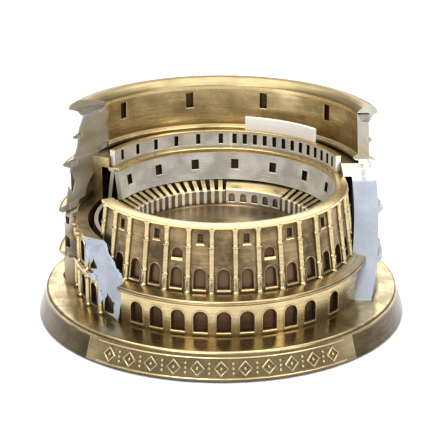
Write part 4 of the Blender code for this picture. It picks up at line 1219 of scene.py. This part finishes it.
def make_storeys(settings):
    """The three arcaded storeys, each cut to the wall's two ends."""
    knives = ends()
    section = framed(1.1 * MM, 0.1 * MM, 0.42 * MM, 0.16 * MM)
    feet = [DECK - OVERLAP, STOREY_TOPS[0], STOREY_TOPS[1]]
    for index, (foot, top) in enumerate(zip(feet, STOREY_TOPS)):
        face = storey_face(settings, index)
        crest = top - settings.cornice_height - 0.9 * MM
        opening = arch(settings.arch_width, foot + 1.5 * MM, crest)
        cell = curved_bay(face, BAY, foot, top, face - STOREY_INNERS[index], [(opening, section)])
        wall = cut(wall_of_bays([(cell, series(1.0, BAY, 20))]), *knives)
        name, node = f"outer_storey_wall_{index + 1}", f"outer_storey_{index + 1}"
        new_piece(name, wall, "bronze_panel", [node])


def make_cornices(settings):
    """The moulded cornice on top of each storey."""
    knives = ends()
    out, high = settings.cornice, settings.cornice_height
    shapes = []
    for index, top in enumerate(STOREY_TOPS):
        face = storey_face(settings, index)
        outline = [
            (face - 1.0 * MM, top + 0.3 * MM),
            (face + out * 0.55, top + 0.15 * MM),
            (face + out, top - 0.1 * MM),
        ]
        moulded = [(1.0, 0.3), (0.8, 0.36), (0.62, 0.62), (0.3, 0.78), (0.22, 1.0)]
        outline += [(face + out * across, top - high * down) for across, down in moulded]
        outline += [(face - 1.0 * MM, top - high)]
        shapes.append(cut(sector(softened(outline, 0.12 * MM, steps=2), *WALL_SPAN), *knives))
    new_piece("outer_cornices", joined(*shapes), "bronze_relief")


def wall_column(foot, top, radius):
    """One half column of the outer wall, between two cornices."""
    base = [(1.45, foot), (1.45, foot + 0.7 * MM), (1.1, foot + 1.05 * MM), (1.0, foot + 1.3 * MM)]
    head = [(0.88, top - 1.2 * MM), (1.12, top - 1.0 * MM), (1.0, top - 0.75 * MM)]
    return column(radius, base + head + [(1.4, top - 0.2 * MM), (1.4, top)], 16)


def end_y(line, height):
    """How far along Y an end line stands at a height."""
    for (y1, z1), (y2, z2) in zip(line, line[1:]):
        if z2 <= height <= z1:
            return y1 + (y2 - y1) * (z1 - height) / (z1 - z2)
    return line[-1][0]


def make_wall_columns(settings):
    """Half columns between the outer wall's bays, wherever the wall behind them is whole."""
    shapes = []
    feet = [DECK - 0.1 * MM, STOREY_TOPS[0] + 0.05 * MM, STOREY_TOPS[1] + 0.05 * MM, ATTIC_FOOT]
    tops = [top - settings.cornice_height + 0.2 * MM for top in STOREY_TOPS]
    tops.append(ATTIC_TOP - 0.4 * MM)
    radius = 0.85 * MM

    def whole_behind(angle, face, *heights):
        y, across = face * sin(radians(angle)), abs(face * cos(radians(angle)))
        if angle < 90.0:
            return y > max(end_y(right_end_line(), z) for z in heights) + radius * 1.6
        line = left_end_line()
        cuts = [skewed(end_y(line, z), across, z, LEFT_END_SKEW) for z in heights]
        return y > max(cuts) + radius * 2.0
    for index, (foot, top) in enumerate(zip(feet, tops)):
        face = storey_face(settings, index)
        angles = [angle for angle in series(-4.0, BAY, 21) if whole_behind(angle, face, foot, top)]
        shapes.append(round_the_axis(wall_column(foot, top, radius), face + 0.05 * MM, angles))
    new_piece("outer_columns", joined(*shapes), "bronze_relief")


def make_attic(settings):
    """The top storey: smooth inside, with four blind windows, and a band round its outside."""
    face = storey_face(settings, 3)
    inner = CROWN_INNER
    foot, top = STOREY_TOPS[2] - 0.1 * MM, ATTIC_TOP + OVERLAP
    count, pitch, side_pitch, first_window = 4, 31.8, 28.0, 40.0
    middle = ATTIC_TOP - 3.6 * MM
    half = settings.window_height / 2.0
    window = square(settings.window_width, middle - half, middle + half)
    openings = [(window, sunk(1.0 * MM, 0.1 * MM))]
    window_cell = curved_bay(inner, pitch, foot, top, face - inner, openings, -1.0, 22)
    side_cell = curved_bay(inner, side_pitch, foot, top, face - inner, [], -1.0, 20)
    start = first_window - pitch / 2.0
    sides = [start - side_pitch / 2.0, start + pitch * count + side_pitch / 2.0]
    wall = wall_of_bays([(window_cell, series(first_window, pitch, count)), (side_cell, sides)])
    knives = ends()
    new_piece("attic_wall", cut(wall, *knives), "attic_metal", ["outer_attic"])

    def moulding(rounding, radius, height, *steps):
        """A moulding from (outwards, up) steps in millimetres, from a radius and a height."""
        outline = [(radius + outwards * MM, height + up * MM) for outwards, up in steps]
        return cut(sector(softened(outline, rounding), *WALL_SPAN), *knives)
    lip = moulding(
        0.2 * MM, inner, ATTIC_FOOT,
        (0.3, 1.5), (-0.25, 1.2), (-1.2, 0.75), (-1.2, 0.1), (-0.7, -0.2), (0.3, -0.2),
    )
    band = moulding(
        0.12 * MM, face, (ATTIC_FOOT + ATTIC_TOP) / 2.0 - 0.8 * MM,
        (-0.5, 0.8), (0.75, 0.35), (0.75, -0.25), (0.2, -0.7), (-0.5, -0.7),
    )
    new_piece("attic_mouldings", joined(lip, band), "bronze_wall")


def make_attic_windows(settings):
    """Small framed windows round the attic's outside, over each second bay below."""
    face = storey_face(settings, 3)
    foot, top = ATTIC_FOOT + 8.2 * MM, ATTIC_FOOT + 10.6 * MM
    single = bmesh.new()
    for low in (foot - 0.4 * MM, top):
        added(single, block(2.3 * MM, low, low + 0.4 * MM, 0.55 * MM, 0.07 * MM))
    for x in (-0.95 * MM, 0.95 * MM):
        added(single, block(0.4 * MM, foot, top, 0.5 * MM, 0.07 * MM), x=x)
    frames = round_the_axis(single, face - 0.3 * MM, series(31.0, BAY * 2.0, 7))
    new_piece("attic_window_frames", frames, "bronze_relief")


def make_crown():
    """The rounded cornice on top of the outer wall, falling to its inner edge."""
    foot = ATTIC_TOP + 0.1 * MM
    rise = CROWN_TOP - foot
    width = CROWN_OUTER - CROWN_INNER
    shares = [
        (0.0, 0.0), (0.0, 0.18), (0.10, 0.42), (0.24, 0.70), (0.40, 0.90), (0.56, 1.0),
        (0.72, 0.97), (0.86, 0.82), (0.96, 0.55), (1.0, 0.30), (0.97, 0.10), (0.88, 0.0),
        (0.78, -0.12), (0.70, -0.35), (0.64, -0.75), (0.55, -0.9), (0.2, -0.9),
    ]
    outline = [(CROWN_INNER + width * out, foot + rise * up) for out, up in shares]
    crown = cut(sector(softened(outline, 0.15 * MM, steps=2), *WALL_SPAN, pitch=1.0), *ends())
    new_piece("crown_moulding", crown, "crown_gold", ["crown_cornice"])


def make_buttress(settings):
    """The smooth sloping end on the right, with the cornices running out on its outside."""
    face = storey_face(settings, 0)
    edge, high = face + settings.cornice * 0.8, settings.cornice_height
    outline = [(BUTTRESS_SIDE, BUTTRESS_TOP), (face, BUTTRESS_TOP)]
    for top in (STOREY_TOPS[1], STOREY_TOPS[0]):
        outline += [(face, top), (edge, top - 0.1 * MM), (edge, top - high * 0.4)]
        outline += [(face + 0.3 * MM, top - high), (face, top - high)]
    outline += [(face, DECK - OVERLAP), (BUTTRESS_SIDE, DECK - OVERLAP)]
    shape = sector(outline, -40.0, 20.0)
    trim(shape, Vector((0.0, BUTTRESS_BACK + OVERLAP, 0.0)), Vector((0.0, 1.0, 0.0)))
    trim(shape, Vector((0.0, BUTTRESS_FRONT, DECK)), BUTTRESS_LEAN)
    # Its pale blue is a painted reflection of the light above.
    new_piece("buttress_slope", shape, "smooth_cut", ["right_buttress"])


def ragged_knife(point, outward):
    """A thick sheet with a broken surface, whose near side passes through a point."""
    sheet = bmesh.new()
    bmesh.ops.create_grid(sheet, x_segments=90, y_segments=90, size=26.0 * MM)
    for vert in sheet.verts:
        spot = vert.co * 420.0
        fine = spot * 2.3 + Vector((7.0, 3.0, 1.0))
        rough = noise.noise(spot) * 0.45 + noise.noise(fine) * 0.28
        steps = round(noise.noise(spot * 0.8 + Vector((2.0, 9.0, 4.0))) * 3.0) / 3.0
        vert.co.z += (rough + steps * 0.5) * 0.55 * MM
    pushed(sheet, sheet.faces[:], (0.0, 0.0, 30.0 * MM))
    turn = outward.to_track_quat("Z", "Y").to_matrix().to_4x4()
    bmesh.ops.transform(sheet, matrix=Matrix.Translation(point) @ turn, verts=sheet.verts)
    return sheet


def ruin_knife():
    """The room in front of the ruin's broken face."""
    heading, tilt = radians(237.0), radians(17.0)
    outward = Vector((cos(heading) * cos(tilt), sin(heading) * cos(tilt), sin(tilt)))
    return ragged_knife(polar(RUIN_OUTER, 226.8, DECK), outward)


def make_ruin():
    """The broken lower storeys on the left, with arches outside, cut off by a ragged face."""
    knife = ruin_knife()
    face = RUIN_OUTER
    section = framed(0.8 * MM, 0.09 * MM, 0.38 * MM, 0.2 * MM)
    arches = [
        (arch(3.3 * MM, DECK + 1.4 * MM, COURSE_FOOT - 1.0 * MM), section),
        (arch(3.3 * MM, COURSE_TOP + 1.2 * MM, RUIN_TOP - 1.4 * MM), section),
    ]
    thickness = face - RUIN_INNER + 0.3 * MM
    cell = curved_bay(face, BAY, DECK - OVERLAP, RUIN_TOP, thickness, arches)
    wall = cut(wall_of_bays([(cell, series(162.0, BAY, 7))]), knife)
    # The broken faces carry a painted reflection of pale blue light.
    new_piece("ruin_wall", wall, "bronze_wall", ["left_ruin"], cut_finish="pale_cut")
    shapes = []
    lower = (DECK - 0.1 * MM, COURSE_FOOT + 0.3 * MM)
    upper = (COURSE_TOP - 0.2 * MM, RUIN_TOP - 0.3 * MM)
    for foot, top in (lower, upper):
        post = wall_column(foot, top, 0.8 * MM)
        shapes.append(cut(round_the_axis(post, face + 0.05 * MM, series(167.0, BAY, 6)), knife))
    course = softened([
        (face - 0.5 * MM, COURSE_TOP + 0.2 * MM),
        (face + 0.9 * MM, COURSE_TOP),
        (face + 1.2 * MM, COURSE_FOOT + 0.7 * MM),
        (face + 0.4 * MM, COURSE_FOOT),
        (face - 0.5 * MM, COURSE_FOOT),
    ], 0.15 * MM)
    shapes.append(cut(sector(course, BREACH_START, 226.0), knife))
    relief = joined(*shapes)
    new_piece("ruin_relief", relief, "bronze_relief", cut_finish="pale_cut")


# --- stage ------------------------------------------------------------------------------------

def make_floor(settings):
    """A wide pale floor with a faint unevenness."""
    shape = bmesh.new()
    bmesh.ops.create_grid(shape, x_segments=2, y_segments=2, size=4.0)
    floor = held("studio_floor", shape)
    finish = Finish("pale_floor")
    cloud = finish.noise(finish.here(), 3.0, 3.0)
    pale = finish.mix(cloud, solid(settings.floor, 0.985), solid(settings.floor))
    finish.feed(finish.shader.inputs["Specular IOR Level"], 0.1)
    floor.data.materials.append(finish.result(pale, 0.8))


def softbox(name, place, size, power, tint):
    """An area light that faces the model."""
    data = bpy.data.lights.new(name, "AREA")
    data.shape = "RECTANGLE"
    data.size, data.size_y = size
    data.energy = power
    data.color = tint
    lamp = bpy.data.objects.new(name, data)
    lamp.location = place
    aim = Vector((0.0, 0.0, 0.025)) - Vector(place)
    lamp.rotation_euler = aim.to_track_quat("-Z", "Y").to_euler()
    bpy.context.scene.collection.objects.link(lamp)


def make_lights():
    """Large soft lights over, in front of and behind the model."""
    softbox("top_light", (0.0, 0.05, 1.1), (1.3, 1.3), 15.0, (1.0, 1.0, 1.0))
    softbox("key_light", (-0.30, -0.75, 0.80), (0.45, 0.35), 4.0, (1.0, 0.98, 0.95))
    softbox("fill_light", (0.60, -0.55, 0.55), (0.35, 0.45), 2.0, (0.94, 0.97, 1.0))
    softbox("back_light", (0.1, 0.9, 0.45), (0.9, 0.35), 2.0, (1.0, 0.99, 0.97))


def brightness_by(tree, value, stops):
    """A ramp from grey to grey over (position, brightness) stops."""
    ramp = tree.nodes.new("ShaderNodeValToRGB")
    tree.links.new(value, ramp.inputs["Fac"])
    elements = ramp.color_ramp.elements
    while len(elements) < len(stops):
        elements.new(0.5)
    for element, (position, level) in zip(elements, stops):
        element.position = position
        element.color = (level, level, level, 1.0)
    return ramp.outputs["Color"]


def make_surroundings():
    """A studio as the metal sees it: bright above, dim at the table and to each side."""
    bpy.context.scene.view_settings.view_transform = "Standard"
    world = bpy.data.worlds.new("studio")
    bpy.context.scene.world = world
    world.use_nodes = True
    tree = world.node_tree
    background = tree.nodes["Background"]
    place = tree.nodes.new("ShaderNodeTexCoord")
    parts = tree.nodes.new("ShaderNodeSeparateXYZ")
    tree.links.new(place.outputs["Generated"], parts.inputs["Vector"])
    side = tree.nodes.new("ShaderNodeMath")
    side.operation = "ABSOLUTE"
    tree.links.new(parts.outputs["X"], side.inputs[0])
    across = brightness_by(tree, side.outputs[0], [(0.0, 1.0), (0.45, 1.0), (0.95, 0.30)])
    rises = [(0.0, 0.16), (0.12, 0.24), (0.34, 0.85), (1.0, 1.0)]
    up = brightness_by(tree, parts.outputs["Z"], rises)
    blend = tree.nodes.new("ShaderNodeMix")
    blend.data_type = "RGBA"
    blend.blend_type = "MULTIPLY"
    blend.inputs["Factor"].default_value = 1.0
    tree.links.new(up, blend.inputs[6])
    tree.links.new(across, blend.inputs[7])
    tree.links.new(blend.outputs[2], background.inputs["Color"])
    background.inputs["Strength"].default_value = 0.85


def make_camera(settings):
    """The camera in front of the model, a little above it."""
    data = bpy.data.cameras.new("camera")
    data.lens = settings.lens
    data.sensor_width = 36.0
    data.shift_x = 0.0061
    data.clip_start = 0.01
    data.clip_end = 20.0
    camera = bpy.data.objects.new("camera", data)
    camera.location = (0.0, -settings.camera_distance, settings.camera_height)
    aim = Vector((0.0, 0.0, settings.aim_height)) - camera.location
    camera.rotation_euler = aim.to_track_quat("-Z", "Y").to_euler()
    bpy.context.scene.collection.objects.link(camera)
    bpy.context.scene.camera = camera


# --- operators --------------------------------------------------------------------------------

class MakePlinth(bpy.types.Operator):
    """Make the round plinth behind its front cover"""
    bl_idname = "amphitheatre.plinth"
    bl_label = "Plinth"

    def execute(self, context):
        make_plinth(context.scene.amphitheatre_plinth)
        return {"FINISHED"}


class MakeFrontCover(bpy.types.Operator):
    """Make the plinth's front cover and the ornament on it"""
    bl_idname = "amphitheatre.front_cover"
    bl_label = "Front cover"

    def execute(self, context):
        make_front_cover(context.scene.amphitheatre_plinth)
        make_relief(context.scene.amphitheatre_plinth)
        return {"FINISHED"}


class MakeHiddenPieces(bpy.types.Operator):
    """Give the pad, the screws and the drum their finishes"""
    bl_idname = "amphitheatre.hidden_pieces"
    bl_label = "Pad, screws and drum"

    def execute(self, context):
        make_hidden_pieces()
        return {"FINISHED"}


class MakeArena(bpy.types.Operator):
    """Make the arena's floor"""
    bl_idname = "amphitheatre.arena"
    bl_label = "Arena"

    def execute(self, context):
        make_arena()
        return {"FINISHED"}


class MakeVaults(bpy.types.Operator):
    """Make the vaults round the arena"""
    bl_idname = "amphitheatre.vaults"
    bl_label = "Vaults"

    def execute(self, context):
        make_vaults(context.scene.amphitheatre_ring)
        return {"FINISHED"}


class MakePodium(bpy.types.Operator):
    """Make the block at the back of the arena"""
    bl_idname = "amphitheatre.podium"
    bl_label = "Podium"

    def execute(self, context):
        make_podium(context.scene.amphitheatre_ring)
        return {"FINISHED"}


class MakeArcade(bpy.types.Operator):
    """Make the ring's arcade and its sills"""
    bl_idname = "amphitheatre.arcade"
    bl_label = "Arcade"

    def execute(self, context):
        make_arcade(context.scene.amphitheatre_ring)
        return {"FINISHED"}


class MakeStringCourse(bpy.types.Operator):
    """Make the moulding over the arcade"""
    bl_idname = "amphitheatre.string_course"
    bl_label = "String course"

    def execute(self, context):
        make_string_course()
        return {"FINISHED"}


class MakeFacade(bpy.types.Operator):
    """Make the facade with its columns and sills"""
    bl_idname = "amphitheatre.facade"
    bl_label = "Facade"

    def execute(self, context):
        make_facade(context.scene.amphitheatre_ring)
        make_columns(context.scene.amphitheatre_ring)
        make_facade_sills(context.scene.amphitheatre_ring)
        return {"FINISHED"}


class MakeLiner(bpy.types.Operator):
    """Make the smooth wall inside the ring"""
    bl_idname = "amphitheatre.liner"
    bl_label = "Inner wall"

    def execute(self, context):
        make_liner()
        return {"FINISHED"}


class MakeCoping(bpy.types.Operator):
    """Make the ring's bright rim"""
    bl_idname = "amphitheatre.coping"
    bl_label = "Coping"

    def execute(self, context):
        make_coping()
        return {"FINISHED"}


class MakeGalleryBase(bpy.types.Operator):
    """Make the mass that the gallery stands on"""
    bl_idname = "amphitheatre.gallery_base"
    bl_label = "Gallery base"

    def execute(self, context):
        make_gallery_base()
        return {"FINISHED"}


class MakeColonnade(bpy.types.Operator):
    """Make the gallery's wall of slots and its rim"""
    bl_idname = "amphitheatre.colonnade"
    bl_label = "Colonnade"

    def execute(self, context):
        make_colonnade()
        return {"FINISHED"}


class MakeScreen(bpy.types.Operator):
    """Make the blank screen on the gallery"""
    bl_idname = "amphitheatre.screen"
    bl_label = "Screen"

    def execute(self, context):
        make_screen()
        return {"FINISHED"}


class MakeStoreys(bpy.types.Operator):
    """Make the outer wall's three arcaded storeys"""
    bl_idname = "amphitheatre.storeys"
    bl_label = "Outer storeys"

    def execute(self, context):
        make_storeys(context.scene.amphitheatre_wall)
        make_cornices(context.scene.amphitheatre_wall)
        make_wall_columns(context.scene.amphitheatre_wall)
        return {"FINISHED"}


class MakeAttic(bpy.types.Operator):
    """Make the attic with its windows and mouldings"""
    bl_idname = "amphitheatre.attic"
    bl_label = "Attic"

    def execute(self, context):
        make_attic(context.scene.amphitheatre_wall)
        make_attic_windows(context.scene.amphitheatre_wall)
        return {"FINISHED"}


class MakeCrown(bpy.types.Operator):
    """Make the cornice on top of the outer wall"""
    bl_idname = "amphitheatre.crown"
    bl_label = "Crown"

    def execute(self, context):
        make_crown()
        return {"FINISHED"}


class MakeButtress(bpy.types.Operator):
    """Make the smooth sloping end on the right"""
    bl_idname = "amphitheatre.buttress"
    bl_label = "Buttress"

    def execute(self, context):
        make_buttress(context.scene.amphitheatre_wall)
        return {"FINISHED"}


class MakeRuin(bpy.types.Operator):
    """Make the broken storeys on the left"""
    bl_idname = "amphitheatre.ruin"
    bl_label = "Ruin"

    def execute(self, context):
        make_ruin()
        return {"FINISHED"}


class MakeStage(bpy.types.Operator):
    """Make the floor, the lights and the camera"""
    bl_idname = "amphitheatre.stage"
    bl_label = "Stage"

    def execute(self, context):
        make_floor(context.scene.amphitheatre_studio)
        make_surroundings()
        make_lights()
        make_camera(context.scene.amphitheatre_studio)
        return {"FINISHED"}


OPERATORS = [
    MakePlinth,
    MakeFrontCover,
    MakeHiddenPieces,
    MakeArena,
    MakeVaults,
    MakePodium,
    MakeArcade,
    MakeStringCourse,
    MakeFacade,
    MakeLiner,
    MakeCoping,
    MakeGalleryBase,
    MakeColonnade,
    MakeScreen,
    MakeStoreys,
    MakeAttic,
    MakeCrown,
    MakeButtress,
    MakeRuin,
    MakeStage,
]


class AmphitheatrePanel(bpy.types.Panel):
    """Buttons for the pieces, and the sizes and colours that they are made to"""
    bl_label = "Amphitheatre"
    bl_idname = "VIEW3D_PT_amphitheatre"
    bl_space_type = "VIEW_3D"
    bl_region_type = "UI"
    bl_category = "Amphitheatre"

    def draw(self, context):
        for group in SETTINGS:
            settings = getattr(context.scene, group)
            box = self.layout.box()
            for name in settings.bl_rna.properties.keys():
                if name not in {"rna_type", "name"}:
                    box.prop(settings, name)
        for piece in OPERATORS:
            self.layout.operator(piece.bl_idname)


def register():
    for group, settings in SETTINGS.items():
        bpy.utils.register_class(settings)
        setattr(bpy.types.Scene, group, PointerProperty(type=settings))
    for piece in OPERATORS + [AmphitheatrePanel]:
        bpy.utils.register_class(piece)


def unregister():
    for piece in reversed(OPERATORS + [AmphitheatrePanel]):
        bpy.utils.unregister_class(piece)
    for group, settings in SETTINGS.items():
        delattr(bpy.types.Scene, group)
        bpy.utils.unregister_class(settings)


def main():
    """Make every piece and the stage."""
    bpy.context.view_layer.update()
    register()
    bpy.ops.amphitheatre.plinth()
    bpy.ops.amphitheatre.front_cover()
    bpy.ops.amphitheatre.hidden_pieces()
    bpy.ops.amphitheatre.arena()
    bpy.ops.amphitheatre.vaults()
    bpy.ops.amphitheatre.podium()
    bpy.ops.amphitheatre.arcade()
    bpy.ops.amphitheatre.string_course()
    bpy.ops.amphitheatre.facade()
    bpy.ops.amphitheatre.liner()
    bpy.ops.amphitheatre.coping()
    bpy.ops.amphitheatre.gallery_base()
    bpy.ops.amphitheatre.colonnade()
    bpy.ops.amphitheatre.screen()
    bpy.ops.amphitheatre.storeys()
    bpy.ops.amphitheatre.attic()
    bpy.ops.amphitheatre.crown()
    bpy.ops.amphitheatre.buttress()
    bpy.ops.amphitheatre.ruin()
    bpy.ops.amphitheatre.stage()


if __name__ == "__main__":
    main()
